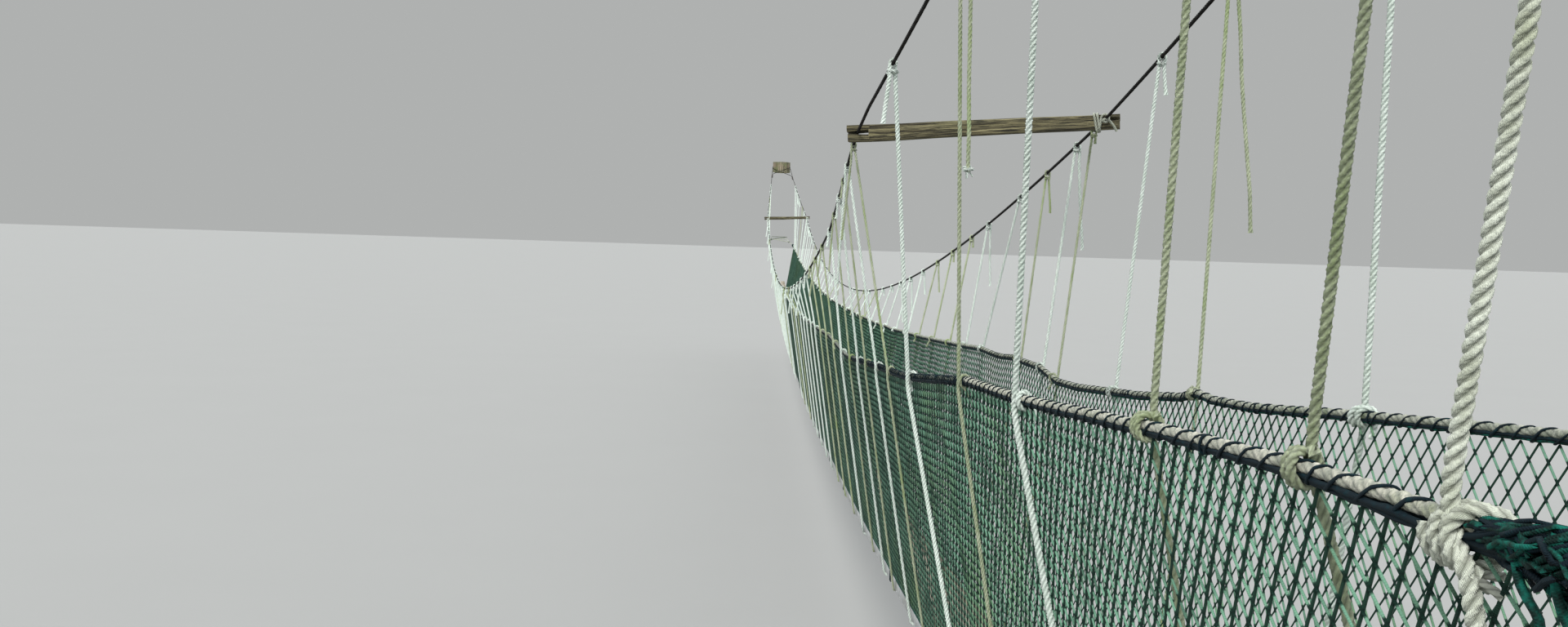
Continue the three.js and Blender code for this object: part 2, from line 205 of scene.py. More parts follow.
    def rail_height(self, y: Array | float, side: Side) -> Array:
        """Height of one handrail's middle, with its lifts and dips."""
        return self.rail_z(y) + self.rail_lift(y, side)


# Shapes carried along paths


def unit(vectors: Array) -> Array:
    """Vectors of length one along the last axis."""
    return vectors / np.maximum(np.linalg.norm(vectors, axis=-1, keepdims=True), 1e-12)


def eased(share: Array) -> Array:
    """Nought to one with a soft start and a soft end."""
    clipped = np.clip(share, 0, 1)
    return clipped * clipped * (3 - 2 * clipped)


def ripple(place: Array, seed: int, length: float, terms: int = 4) -> Array:
    """Smooth noise along a line: a few sines of falling size, with seeded phases.

    Args:
        place: distance along the line.
        seed: picks the phases.
        length: the longest wave.
        terms: how many waves are added.

    Returns:
        Noise between about -1 and 1.
    """
    draw = np.random.default_rng(seed)
    total = np.zeros(np.shape(place))
    for k in range(terms):
        stretch = 1.0 + 0.83 * k + 0.2 * draw.random()
        total = total + np.sin(TURN * (np.asarray(place) * stretch / length + draw.random())) / (1 + k)
    return total / 1.7


def filleted(points: Array, reach: float, steps: int = 6) -> Array:
    """A polyline whose inner corners are replaced by short parabolas.

    Args:
        points: the corners.
        reach: how far from a corner its curve starts, cut to under half of each run.
        steps: points of each curve.

    Returns:
        The rounded polyline.
    """
    share = np.linspace(0, 1, steps)[:, None]
    parts = [points[:1]]
    for before, corner, after in zip(points[:-2], points[1:-1], points[2:]):
        back = min(reach, 0.48 * np.linalg.norm(before - corner))
        ahead = min(reach, 0.48 * np.linalg.norm(after - corner))
        start = corner + unit(before - corner) * back
        end = corner + unit(after - corner) * ahead
        parts.append((1 - share) ** 2 * start + 2 * share * (1 - share) * corner + share**2 * end)
    parts.append(points[-1:])
    return np.concatenate(parts)


def lengths_along(points: Array) -> Array:
    """Distance of each point from the start of its polyline."""
    steps = np.linalg.norm(np.diff(points, axis=0), axis=1)
    return np.concatenate([[0.0], np.cumsum(steps)])


def paced(points: Array, step: float) -> Array:
    """The polyline walked in equal steps of about the given length.

    Args:
        points: the polyline.
        step: distance between two points.

    Returns:
        The new points, at least three.
    """
    run = lengths_along(points)
    count = max(3, int(round(run[-1] / step)) + 1)
    places = np.linspace(0, run[-1], count)
    return np.stack([np.interp(places, run, points[:, k]) for k in range(3)], axis=1)


def thinned(points: Array, longest: float, most: float = 0.42) -> Array:
    """The polyline with only the points that its bends need.

    Each point scores its step over the longest allowed, plus its turn over the most allowed. One is
    kept wherever the sum of the scores passes a whole number.

    Args:
        points: the polyline.
        longest: the longest straight step.
        most: the most turn in a step, in radians.

    Returns:
        The kept points, with both ends.
    """
    path = paced(points, 0.006)
    steps = np.diff(path, axis=0)
    bend = np.arccos(np.clip(np.sum(unit(steps[1:]) * unit(steps[:-1]), axis=1), -1, 1))
    score = lengths_along(path) / longest + np.cumsum(np.concatenate([[0.0], bend, [0.0]])) / most
    kept = np.flatnonzero(np.diff(np.floor(score)) > 0)[:-1] + 1
    return path[np.concatenate([[0], kept, [len(path) - 1]])]


def section_lobes(count: int, sides: int, depth: Array | float) -> Array:
    """Radius factors of a laid section: one lobe for each strand, with a sharp groove between them.

    Args:
        count: strands.
        sides: points round the section.
        depth: how deep the grooves are, as a share of the radius.

    Returns:
        Factors, one for each side, for each value of depth.
    """
    phase = (np.arange(sides) / sides * count) % 1.0
    groove = np.abs(2 * phase - 1) ** 2.3
    return 1 - np.asarray(depth)[..., None] * groove


def rings(paths: Array, keeper: Array, radius: Array, turn: Array | float = 0.0) -> Array:
    """Sections carried along paths, each square to its path.

    A point is path + radius (cos a normal + sin a binormal), where the normal is keeper x tangent.

    Args:
        paths: points, shaped (paths, steps, 3).
        keeper: a direction that no path runs along, which the sections keep to.
        radius: shaped (paths, steps, sides) or anything that spreads to it, with sides last.
        turn: extra turn of each section, shaped (paths, steps).

    Returns:
        Points shaped (paths, steps, sides, 3).
    """
    tangent = unit(np.gradient(paths, axis=1))
    normal = unit(np.cross(np.broadcast_to(keeper, tangent.shape), tangent))
    binormal = np.cross(tangent, normal)
    sides = np.shape(radius)[-1]
    angle = TURN * np.arange(sides) / sides + np.asarray(turn)[..., None]
    around = np.cos(angle)[..., None] * normal[:, :, None] + np.sin(angle)[..., None] * binormal[:, :, None]
    return paths[:, :, None] + np.broadcast_to(radius, around.shape[:-1])[..., None] * around


class Surface:
    """Vertices, faces and face-corner UVs of one piece, gathered shape by shape."""

    def __init__(self) -> None:
        """Starts with nothing in it."""
        self.points: list[Array] = []
        self.faces: list[Array] = []
        self.face_uvs: list[Array] = []
        self.face_marks: list[Array] = []
        self.count = 0

    def keep(self, points: Array, faces: Array, uvs: Array, mark: int) -> None:
        """Adds vertices and faces of three or four corners, numbered from this shape's first vertex.

        Args:
            points: the vertices, last axis X, Y and Z.
            faces: vertex numbers.
            uvs: UVs of the faces' corners.
            mark: which of the piece's materials it takes.
        """
        self.points.append(points.reshape(-1, 3))
        self.faces.append(faces + self.count)
        self.face_uvs.append(uvs)
        self.face_marks.append(np.full(len(faces), mark))
        self.count += points.reshape(-1, 3).shape[0]

    def tubes(self, grid: Array, run: Array, mark: int = 0, family: Array | float = 0.0) -> None:
        """Adds closed tubes from rings of points, with both ends capped.

        Args:
            grid: points shaped (tubes, steps, sides, 3), the sides counter-clockwise round the path.
            run: UV height of each ring, shaped (tubes, steps).
            mark: which of the piece's materials they take.
            family: added to the UV across: a number that tells families apart, or one for each ring,
                shaped (tubes, steps), that paints a twist.
        """
        tubes, steps, sides = grid.shape[:3]
        index = np.arange(tubes * steps * sides).reshape(tubes, steps, sides)
        ahead = np.roll(index, -1, axis=2)
        quads = np.stack([index[:, :-1], ahead[:, :-1], ahead[:, 1:], index[:, 1:]], axis=-1)
        shift = np.broadcast_to(family, grid.shape[:2])
        across = np.arange(sides) / sides + shift[..., None]
        height = np.broadcast_to(run[..., None], across.shape)
        low, high = np.stack([across, height], -1), np.stack([across + 1 / sides, height], -1)
        uvs = np.stack([low[:, :-1], high[:, :-1], high[:, 1:], low[:, 1:]], axis=-2)
        self.keep(grid, quads.reshape(-1, 4), uvs.reshape(-1, 4, 2), mark)
        for row, flip in ((0, True), (-1, False)):
            self.caps(grid[:, row], run[:, row], flip, mark, shift[:, row])

    def caps(self, rims: Array, height: Array, flip: bool, mark: int, family: Array) -> None:
        """Closes tube ends with fans from their middles, on vertices of their own.

        Args:
            rims: end rings shaped (tubes, sides, 3).
            height: UV height of each end.
            flip: true for the end that faces back along the path.
            mark: which of the piece's materials they take.
            family: added to the UV across, one for each tube.
        """
        tubes, sides = rims.shape[:2]
        points = np.concatenate([rims, rims.mean(axis=1, keepdims=True)], axis=1)
        index = np.arange(tubes * (sides + 1)).reshape(tubes, sides + 1)
        first = index[:, :sides]
        second = np.roll(first, -1, axis=1)
        middle = np.broadcast_to(index[:, -1:], first.shape)
        order = [second, first, middle] if flip else [first, second, middle]
        faces = np.stack(order, axis=-1).reshape(-1, 3)
        uvs = np.zeros((len(faces), 3, 2))
        uvs[..., 0] = np.repeat(family, sides)[:, None] + 0.5
        uvs[..., 1] = np.repeat(height, sides)[:, None]
        self.keep(points, faces, uvs, mark)

    def mesh(self, name: str) -> bpy.types.Mesh:
        """A Blender mesh of everything gathered, smooth shaded, with its UV map.

        Args:
            name: the mesh's name.

        Returns:
            The mesh, with one material number for each face.
        """
        made = bpy.data.meshes.new(name)
        points = np.concatenate(self.points).astype(np.float32)
        corners = np.concatenate([f.ravel() for f in self.faces]).astype(np.int32)
        totals = np.concatenate([np.full(len(f), f.shape[1]) for f in self.faces]).astype(np.int32)
        starts = np.concatenate([[0], np.cumsum(totals)[:-1]]).astype(np.int32)
        made.vertices.add(len(points))
        made.vertices.foreach_set("co", points.ravel())
        made.loops.add(len(corners))
        made.loops.foreach_set("vertex_index", corners)
        made.polygons.add(len(totals))
        made.polygons.foreach_set("loop_start", starts)
        made.polygons.foreach_set("material_index", np.concatenate(self.face_marks).astype(np.int32))
        made.polygons.foreach_set("use_smooth", np.ones(len(totals), bool))
        layer = made.uv_layers.new(name="surface")
        layer.data.foreach_set("uv", np.concatenate([u.ravel() for u in self.face_uvs]).astype(np.float32))
        made.update(calc_edges=True)
        return made

    def triangles(self) -> int:
        """How many triangles the shapes come to."""
        return sum(len(f) * (f.shape[1] - 2) for f in self.faces)


@dataclass(frozen=True)
class RopeCut:
    """How a rope's mesh is made: its strands, sides, step, length of lay and depth of groove.

    Plain means round, with the lay only painted on and points only where the route bends.
    """

    radius: float
    strands: int = 3
    sides: int = 12
    step: float = 0.008
    lay: float = 0.042
    depth: float = 0.33
    hand: Lay = Lay.RIGHT
    plain: bool = False


def add_rope(surface: Surface, points: Array, cut: RopeCut, keeper: Array = ALONG, mark: int = 0,
             swell: Array | None = None) -> None:
    """Adds one laid rope along a polyline.

    The section has a lobe for each strand and turns once in each lay.

    Args:
        surface: where the rope goes.
        points: the route, already rounded.
        cut: the rope's sizes and mesh density.
        keeper: a direction that the rope doesn't run along.
        mark: which of the piece's materials it takes.
        swell: pairs of distance from the start and radius factor, or none for an even rope.
    """
    path = thinned(points, cut.step) if cut.plain else paced(points, cut.step)
    run = lengths_along(path)
    depth = 0.0 if cut.plain else cut.depth
    radius = cut.radius * section_lobes(cut.strands, cut.sides, np.full(len(path), depth))
    if swell is not None:
        radius = radius * np.interp(run, swell[:, 0], swell[:, 1])[:, None]
    laid = cut.hand.value * run / cut.lay
    turn, painted = (0 * laid, -laid) if cut.plain else (TURN * laid, 0 * laid)
    grid = rings(path[None], keeper, radius[None], turn[None])
    surface.tubes(grid, (run / cut.lay)[None], mark, painted[None])


def add_tube(surface: Surface, path: Array, radius: Array | float, sides: int = 6,
             keeper: Array = ALONG, mark: int = 0) -> None:
    """Adds one tube with a ring at each point of a path.

    Args:
        surface: where the tube goes.
        path: its points.
        radius: one number, one for each point, or an array shaped (points, sides).
        sides: corners of each ring, where the radius doesn't say.
        keeper: a direction that the path doesn't run along.
        mark: which of the piece's materials it takes.
    """
    size = np.asarray(radius, float)
    if size.ndim < 2:
        size = np.broadcast_to(size.reshape(-1, 1), (len(path), sides))
    surface.tubes(rings(path[None], keeper, size[None]), lengths_along(path)[None], mark)


def add_block(surface: Surface, centre: Array, size: Array, mark: int = 0) -> None:
    """Adds a block with worn edges: its length along Y, its section a rectangle with cut corners.

    Args:
        surface: where the block goes.
        centre: its middle.
        size: its width, length and height.
        mark: which of the piece's materials it takes.
    """
    bevel = 0.15
    half_x, half_y, half_z = np.asarray(size) / 2
    cut = bevel * 2 * min(half_x, half_z)
    profile = np.array([[half_x, half_z - cut], [half_x - cut, half_z], [cut - half_x, half_z],
                        [-half_x, half_z - cut], [-half_x, cut - half_z], [cut - half_x, -half_z],
                        [half_x - cut, -half_z], [half_x, cut - half_z]])[::-1]
    ends = np.array([-half_y, cut - half_y, half_y - cut, half_y])
    shrink = np.array([1 - bevel / 2, 1, 1, 1 - bevel / 2])
    grid = np.empty((1, 4, 8, 3))
    grid[0, :, :, 0] = centre[0] + profile[None, :, 0] * shrink[:, None]
    grid[0, :, :, 1] = centre[1] + ends[:, None]
    grid[0, :, :, 2] = centre[2] + profile[None, :, 1] * shrink[:, None]
    surface.tubes(grid, ends[None], mark)


# Node graphs


class Graph:
    """A node tree under construction, with one short call for a node and its links."""

    def __init__(self, tree: bpy.types.NodeTree) -> None:
        """Keeps the tree that nodes are added to."""
        self.tree = tree

    def add(self, kind: str, sockets: dict | None = None, **settings) -> bpy.types.Node:
        """Adds a node, sets its options, and sets or links its inputs.

        Args:
            kind: the node's type.
            sockets: input names or numbers, each with a value or with an output to link.
            settings: the node's own options.

        Returns:
            The node.
        """
        node = self.tree.nodes.new(kind)
        for name, value in settings.items():
            setattr(node, name, value)
        for key, value in (sockets or {}).items():
            if isinstance(value, Socket):
                self.tree.links.new(value, node.inputs[key])
            else:
                node.inputs[key].default_value = value
        return node

    def link(self, source: Socket, target: Socket) -> None:
        """Links an output to an input."""
        self.tree.links.new(source, target)

    def maths(self, operation: str, first: Socket | float, second: Socket | float = 0.0) -> Socket:
        """A Math node's result; what MULTIPLY_ADD adds is the node's usual half."""
        return self.add("ShaderNodeMath", {0: first, 1: second}, operation=operation).outputs[0]

    def product(self, first: Socket | float, second: Socket | float) -> Socket:
        """Two values multiplied."""
        return self.maths("MULTIPLY", first, second)

    def blend(self, share: Socket | float, first: Socket | tuple, second: Socket | tuple) -> Socket:
        """A colour mixed from two, by a share of the second.

        Args:
            share: how much of the second.
            first: a colour.
            second: another.

        Returns:
            The mixed colour.
        """
        fill = [c if isinstance(c, Socket) else (*c, 1.0) for c in (first, second)]
        node = self.add("ShaderNodeMix", {0: share, 6: fill[0], 7: fill[1]},
                        data_type="RGBA", clamp_factor=True)
        return node.outputs[2]

    def span(self, value: Socket, low: Socket | float, high: Socket | float, to_low: float = 0.0,
             to_high: float = 1.0) -> Socket:
        """A value mapped smoothly from one range to another and clamped.

        Args:
            value: what is mapped.
            low: where the first range starts.
            high: where it ends.
            to_low: where the second range starts.
            to_high: where it ends.

        Returns:
            The mapped value.
        """
        node = self.add("ShaderNodeMapRange", {0: value, 1: low, 2: high, 3: to_low, 4: to_high},
                        interpolation_type="SMOOTHSTEP")
        return node.outputs[0]

    def noise(self, vector: Socket, scale: Socket | float, detail: float = 3.0,
              rough: float = 0.55) -> Socket:
        """A noise texture's value."""
        return self.add("ShaderNodeTexNoise", {"Vector": vector, "Scale": scale, "Detail": detail,
                                               "Roughness": rough}).outputs[0]

    def place(self) -> Socket:
        """Object coordinates."""
        return self.add("ShaderNodeTexCoord").outputs["Object"]

    def uv(self) -> tuple[Socket, Socket]:
        """The piece's own UV map, as across and along."""
        vector = self.add("ShaderNodeUVMap", uv_map="surface").outputs[0]
        parts = self.add("ShaderNodeSeparateXYZ", {0: vector})
        return parts.outputs[0], parts.outputs[1]

    def stretched(self, vector: Socket, scale: tuple[float, float, float]) -> Socket:
        """A vector scaled by axis."""
        return self.add("ShaderNodeMapping", {"Vector": vector, "Scale": scale}).outputs[0]

    def group(self, tree: bpy.types.NodeTree, sockets: dict) -> dict[str, Socket]:
        """Places a node group and returns its outputs by name."""
        node = self.add("ShaderNodeGroup", sockets, node_tree=tree)
        return {socket.name: socket for socket in node.outputs}


def new_group(name: str, inputs: dict[str, float], outputs: list[str]) -> tuple[Graph, Socket, Socket]:
    """Starts a shader node group.

    Args:
        name: the group's name.
        inputs: its inputs with their usual values: a number, or "vector" for a vector.
        outputs: its value outputs.

    Returns:
        The graph, the group input node's outputs, and the group output node's inputs.
    """
    tree = bpy.data.node_groups.new(name, "ShaderNodeTree")
    for key, value in inputs.items():
        kind = "NodeSocketVector" if value == "vector" else "NodeSocketFloat"
        socket = tree.interface.new_socket(key, in_out="INPUT", socket_type=kind)
        if kind == "NodeSocketFloat":
            socket.default_value = value
    for key in outputs:
        tree.interface.new_socket(key, in_out="OUTPUT", socket_type="NodeSocketFloat")
    graph = Graph(tree)
    start = graph.add("NodeGroupInput")
    end = graph.add("NodeGroupOutput")
    return graph, start.outputs, end.inputs


class Effects:
    """The node groups that several materials share, each built once."""

    def __init__(self) -> None:
        """Builds every group."""
        self.lay = self.build_lay()
        self.patches = self.build_patches()
        self.grain = self.build_grain()

    def build_lay(self) -> bpy.types.NodeTree:
        """Strand grooves and yarns of laid rope, from the UV map.

        Across counts once round the rope along its strands and along counts lays, so a groove is
        where across times the strands is whole, and yarns keep to the rope's own length.
        """
        graph, given, out = new_group(
            "laid_rope", {"Strands": 3.0, "Yarns": 36.0, "Across": 0.0, "Along": 0.0}, ["Groove", "Yarn"])
        strand = graph.maths("FRACT", graph.product(given["Across"], given["Strands"]))
        ridge = graph.maths("ABSOLUTE", graph.maths("SUBTRACT", graph.product(strand, 2.0), 1.0))
        graph.link(graph.maths("POWER", ridge, 2.6), out["Groove"])
        around = graph.maths("ADD", given["Across"], given["Along"])
        wave = graph.maths("SINE", graph.product(graph.product(around, given["Yarns"]), TURN))
        graph.link(graph.maths("MULTIPLY_ADD", wave, 0.5), out["Yarn"])
        return graph.tree

    def build_patches(self) -> bpy.types.NodeTree:
        """Soft-edged patches, such as algae or dirt, from two sizes of noise."""
        graph, given, out = new_group(
            "patches", {"Vector": "vector", "Size": 4.0, "Cover": 0.5, "Softness": 0.12}, ["Mask"])
        broad = graph.noise(given["Vector"], given["Size"], 4.0, 0.6)
        clear = graph.maths("SUBTRACT", 1.0, given["Cover"])
        low = graph.maths("SUBTRACT", clear, given["Softness"])
        high = graph.maths("ADD", clear, given["Softness"])
        graph.link(graph.span(broad, low, high), out["Mask"])
        return graph.tree

    def build_grain(self) -> bpy.types.NodeTree:
        """Sawn and weathered wood: rings stretched along the grain, with fine open cracks."""
        graph, given, out = new_group(
            "timber_grain", {"Vector": "vector", "Rings": 30.0, "Cracks": 60.0}, ["Rings", "Cracks"])
        bend = graph.add("ShaderNodeTexNoise", {"Vector": given["Vector"], "Scale": 3.0, "Detail": 3.0})
        mixed = graph.add("ShaderNodeVectorMath", {0: bend.outputs[1], 1: (0.35, 0.35, 0.35),
                                                   2: given["Vector"]}, operation="MULTIPLY_ADD")
        for key in ("Rings", "Cracks"):
            graph.link(graph.noise(mixed.outputs[0], given[key], 5.0, 0.62), out[key])
        return graph.tree

    def mask(self, graph: Graph, place: Socket, size: float, cover: float, softness: float) -> Socket:
        """Places the patches in a material and returns their mask."""
        return graph.group(self.patches, {"Vector": place, "Size": size, "Cover": cover,
                                          "Softness": softness})["Mask"]


def new_material(name: str) -> tuple[bpy.types.Material, Graph, bpy.types.Node]:
    """An empty node material, with its graph and its shader node.

    Args:
        name: the material's name.

    Returns:
        The material, its graph and its shader node.
    """
    material = bpy.data.materials.new(name)
    material.use_nodes = True
    material.node_tree.nodes.clear()
    graph = Graph(material.node_tree)
    shader = graph.add("ShaderNodeBsdfPrincipled")
    graph.add("ShaderNodeOutputMaterial", {0: shader.outputs[0]})
    return material, graph, shader


def finish_shader(graph: Graph, shader: bpy.types.Node, colour: Socket, rough: Socket, height: Socket,
                  depth: float, metallic: float = 0.0) -> None:
    """Links a colour, a roughness and a bump height to a shader.

    Args:
        graph: the material's graph.
        shader: the Principled node.
        colour: its base colour.
        rough: its roughness.
        height: what the bump reads.
        depth: the bump's depth in metres.
        metallic: a plain value.
    """
    bump = graph.add("ShaderNodeBump", {"Strength": 1.0, "Distance": depth, "Height": height})
    graph.link(colour, shader.inputs["Base Color"])
    graph.link(rough, shader.inputs["Roughness"])
    graph.link(bump.outputs[0], shader.inputs["Normal"])
    shader.inputs["Metallic"].default_value = metallic


@dataclass(frozen=True)
class RopeFinish:
    """The look of laid fibre rope: its clean and worn colours, painted shade in its grooves and its algae."""

    name: str
    clean: Colour
    worn: Colour
    # groove: painted shade for the grooves between strands; the dark specks take this colour too
    groove: Colour
    algae: Colour
    algae_cover: float = 0.3
    groove_shade_share: float = 0.75
    strands: float = 3.0
    yarns: float = 36.0
    patch_size: float = 5.0
    speck_share: float = 0.3

    def make(self, effects: Effects) -> bpy.types.Material:
        """Builds the material: worn patches, algae, painted shade in the grooves and a yarn bump.

        Args:
            effects: the shared node groups.

        Returns:
            The finished material.
        """
        material, graph, shader = new_material(self.name)
        place = graph.place()
        across, along = graph.uv()
        lay = graph.group(effects.lay, {
            "Strands": self.strands, "Yarns": self.yarns, "Across": across, "Along": along})
        worn = effects.mask(graph, place, self.patch_size * 4, 0.5, 0.16)
        algae = effects.mask(graph, place, self.patch_size, self.algae_cover, 0.1)
        speck = graph.span(graph.noise(place, 220.0, 2.0), 0.35, 0.75)
        colour = graph.blend(worn, self.clean, self.worn)
        colour = graph.blend(graph.product(algae, 0.8), colour, self.algae)
        colour = graph.blend(graph.product(speck, self.speck_share), colour, self.groove)
        # painted shade: the grooves between strands are darkened towards the groove colour
        colour = graph.blend(graph.product(lay["Groove"], self.groove_shade_share), colour, self.groove)
        rough = graph.span(worn, 0.0, 1.0, 0.78, 0.95)
        height = graph.maths("ADD", lay["Yarn"], speck)
        finish_shader(graph, shader, colour, rough, height, 0.0007)
        shader.inputs["Sheen Weight"].default_value = 0.25
        shader.inputs["Sheen Roughness"].default_value = 0.5
        return material


@dataclass(frozen=True)
class TwineFinish:
    """The look of thin braided twine: dark, with paler rubbed places."""

    name: str
    dark: Colour
    rubbed: Colour
    cover: float = 0.35
    roughness: float = 0.6

    def make(self, effects: Effects) -> bpy.types.Material:
        """Builds the material: rubbed patches and a fine braid bump along the twine.

        Args:
            effects: the shared node groups.

        Returns:
            The finished material.
        """
        material, graph, shader = new_material(self.name)
        place = graph.place()
        across, along = graph.uv()
        rubbed = effects.mask(graph, place, 60.0, self.cover, 0.15)
        colour = graph.blend(rubbed, self.dark, self.rubbed)
        around = graph.product(across, 3.0)
        braid = graph.maths("SINE", graph.product(graph.maths("MULTIPLY_ADD", along, 400.0), TURN))
        height = graph.product(braid, graph.maths("COSINE", graph.product(around, TURN)))
        rough = graph.span(rubbed, 0.0, 1.0, self.roughness, self.roughness + 0.2)
        finish_shader(graph, shader, colour, rough, height, 0.0003)
        shader.inputs["Specular IOR Level"].default_value = 0.15
        return material


@dataclass(frozen=True)
class NetFinish:
    """The look of the net: one family's bars carry a painted highlight between dark knots, the other's
    painted shade.
    """

    name: str = "net_twine"
    knot: Colour = (0.004, 0.022, 0.015)
    # bar: painted highlight on the lit family's bars; shade: painted shade on the other family's bars
    bar: Colour = (0.150, 0.320, 0.220)
    shade: Colour = (0.008, 0.042, 0.026)
    algae: Colour = (0.15, 0.24, 0.07)

    def make(self, effects: Effects) -> bpy.types.Material:
        """Builds the material from the UV map, where along counts bars and across tells the family.

        Args:
            effects: the shared node groups.

        Returns:
            The finished material.
        """
        material, graph, shader = new_material(self.name)
        place = graph.place()
        across, along = graph.uv()
        # the painted highlight covers the middle of each bar and leaves the knots dark
        centre = graph.maths("ABSOLUTE", graph.maths("SUBTRACT", graph.maths("FRACT", along), 0.5))
        middle = graph.span(centre, 0.27, 0.37, 1.0, 0.0)
        family = graph.maths("LESS_THAN", across, 1.0)
        along_bridge = graph.add("ShaderNodeSeparateXYZ", {0: place}).outputs[1]
        # painted light: the highlight is strongest at the near end, fades past 4 m and is broken up by noise
        lit_near_end = graph.span(along_bridge, 4.0, 7.5, 1.0, 0.45)
        highlight_strength = graph.product(lit_near_end, graph.span(graph.noise(place, 7.0, 4.0), 0.3, 0.62, 0.25, 1.0))
        # the lit family takes the painted highlight colour, the other family the painted shade colour
        bar = graph.blend(family, self.shade, self.bar)
        green = effects.mask(graph, place, 1.6, 0.42, 0.12)
        bar = graph.blend(graph.product(graph.product(green, family), 0.6), bar, self.algae)
        colour = graph.blend(graph.product(middle, highlight_strength), self.knot, bar)
        braid = graph.maths("SINE", graph.product(along, TURN * 14))
        rough = graph.span(centre, 0.0, 0.5, 0.55, 0.85)
        finish_shader(graph, shader, colour, rough, braid, 0.0004)
        shader.inputs["Specular IOR Level"].default_value = 0.2
        return material


@dataclass(frozen=True)
class MetalFinish:
    """The look of bare metal: mill finish or wire rope, with dull oxide, darker dirt and painted groove
    shade.
    """

    name: str
    bright: Colour
    dull: Colour
    # dirt: the colour of the dirt patches, and on wire rope also of the painted shade in its grooves
    dirt: Colour
    roughness: float
    metallic: float = 0.9
    strands: float = 0.0
    brush: tuple[float, float, float] = (60.0, 4.0, 60.0)
    gloss: float = 0.5

    def make(self, effects: Effects) -> bpy.types.Material:
        """Builds the material: oxide patches, brushed streaks and, on wire rope, painted shade in the
        grooves.

        Args:
            effects: the shared node groups.

        Returns:
            The finished material.
        """
        material, graph, shader = new_material(self.name)
        place = graph.place()
        oxide = effects.mask(graph, place, 18.0, 0.5, 0.2)
        dirt = effects.mask(graph, place, 6.0, 0.4, 0.12)
        streak = graph.noise(graph.stretched(place, self.brush), 8.0, 3.0)
        colour = graph.blend(oxide, self.bright, self.dull)
        colour = graph.blend(graph.product(dirt, 0.7), colour, self.dirt)
        height = streak
        if self.strands:
            across, along = graph.uv()
            lay = graph.group(effects.lay, {
                "Strands": self.strands, "Yarns": self.strands * 7, "Across": across, "Along": along})
            # painted shade: the wire rope's grooves are darkened towards the dirt colour
            colour = graph.blend(graph.product(lay["Groove"], 0.8), colour, self.dirt)
            height = graph.maths("ADD", lay["Yarn"], streak)
        rough = graph.span(oxide, 0.0, 1.0, self.roughness, self.roughness + 0.2)
        finish_shader(graph, shader, colour, rough, height, 0.0004, self.metallic)
        shader.inputs["Specular IOR Level"].default_value = self.gloss
        return material


@dataclass(frozen=True)
class TimberFinish:
    """The look of weathered timber: pale fibres, dark cracks and green growth, with its grain one way."""

    name: str
    pale: Colour
    deep: Colour
    crack: Colour
    growth: Colour
    growth_cover: float
    stretch: tuple[float, float, float]
    worn: Colour | None = None
    worn_half: float = 0.10
    turned: bool = False
    crack_from: float = 0.56

    def make(self, effects: Effects) -> bpy.types.Material:
        """Builds the material, and on the deck a trodden strip down the middle.

        Args:
            effects: the shared node groups.

        Returns:
            The finished material.
        """
        material, graph, shader = new_material(self.name)
        place = graph.place()
        fibre = place
        if self.turned:
            across, along = graph.uv()
            angle = graph.product(across, TURN)
            fibre = graph.add("ShaderNodeCombineXYZ", {0: along, 1: graph.maths("COSINE", angle),
                                                       2: graph.maths("SINE", angle)}).outputs[0]
        grain = graph.group(effects.grain, {
            "Vector": graph.stretched(fibre, self.stretch), "Rings": 1.0, "Cracks": 2.6})
        crack = graph.span(grain["Cracks"], self.crack_from, self.crack_from + 0.12)
        colour = graph.blend(graph.span(grain["Rings"], 0.35, 0.65), self.pale, self.deep)
        growth = effects.mask(graph, place, 5.0, self.growth_cover, 0.12)
        if self.worn is not None:
            parts = graph.add("ShaderNodeSeparateXYZ", {0: place})
            edge = graph.maths("ADD", graph.maths("ABSOLUTE", parts.outputs[0]),
                               graph.product(graph.noise(place, 6.0), 0.08))
            trodden = graph.span(edge, self.worn_half, self.worn_half + 0.06, 1.0, 0.0)
            colour = graph.blend(graph.product(trodden, 0.55), colour, self.worn)
            growth = graph.product(growth, graph.maths("SUBTRACT", 1.0, trodden))
        colour = graph.blend(graph.product(growth, 0.6), colour, self.growth)
        colour = graph.blend(graph.product(crack, 0.85), colour, self.crack)
        rough = graph.span(grain["Rings"], 0.3, 0.7, 0.75, 0.95)
        height = graph.maths("SUBTRACT", grain["Rings"], graph.product(crack, 1.5))
        finish_shader(graph, shader, colour, rough, height, 0.004)
        return material


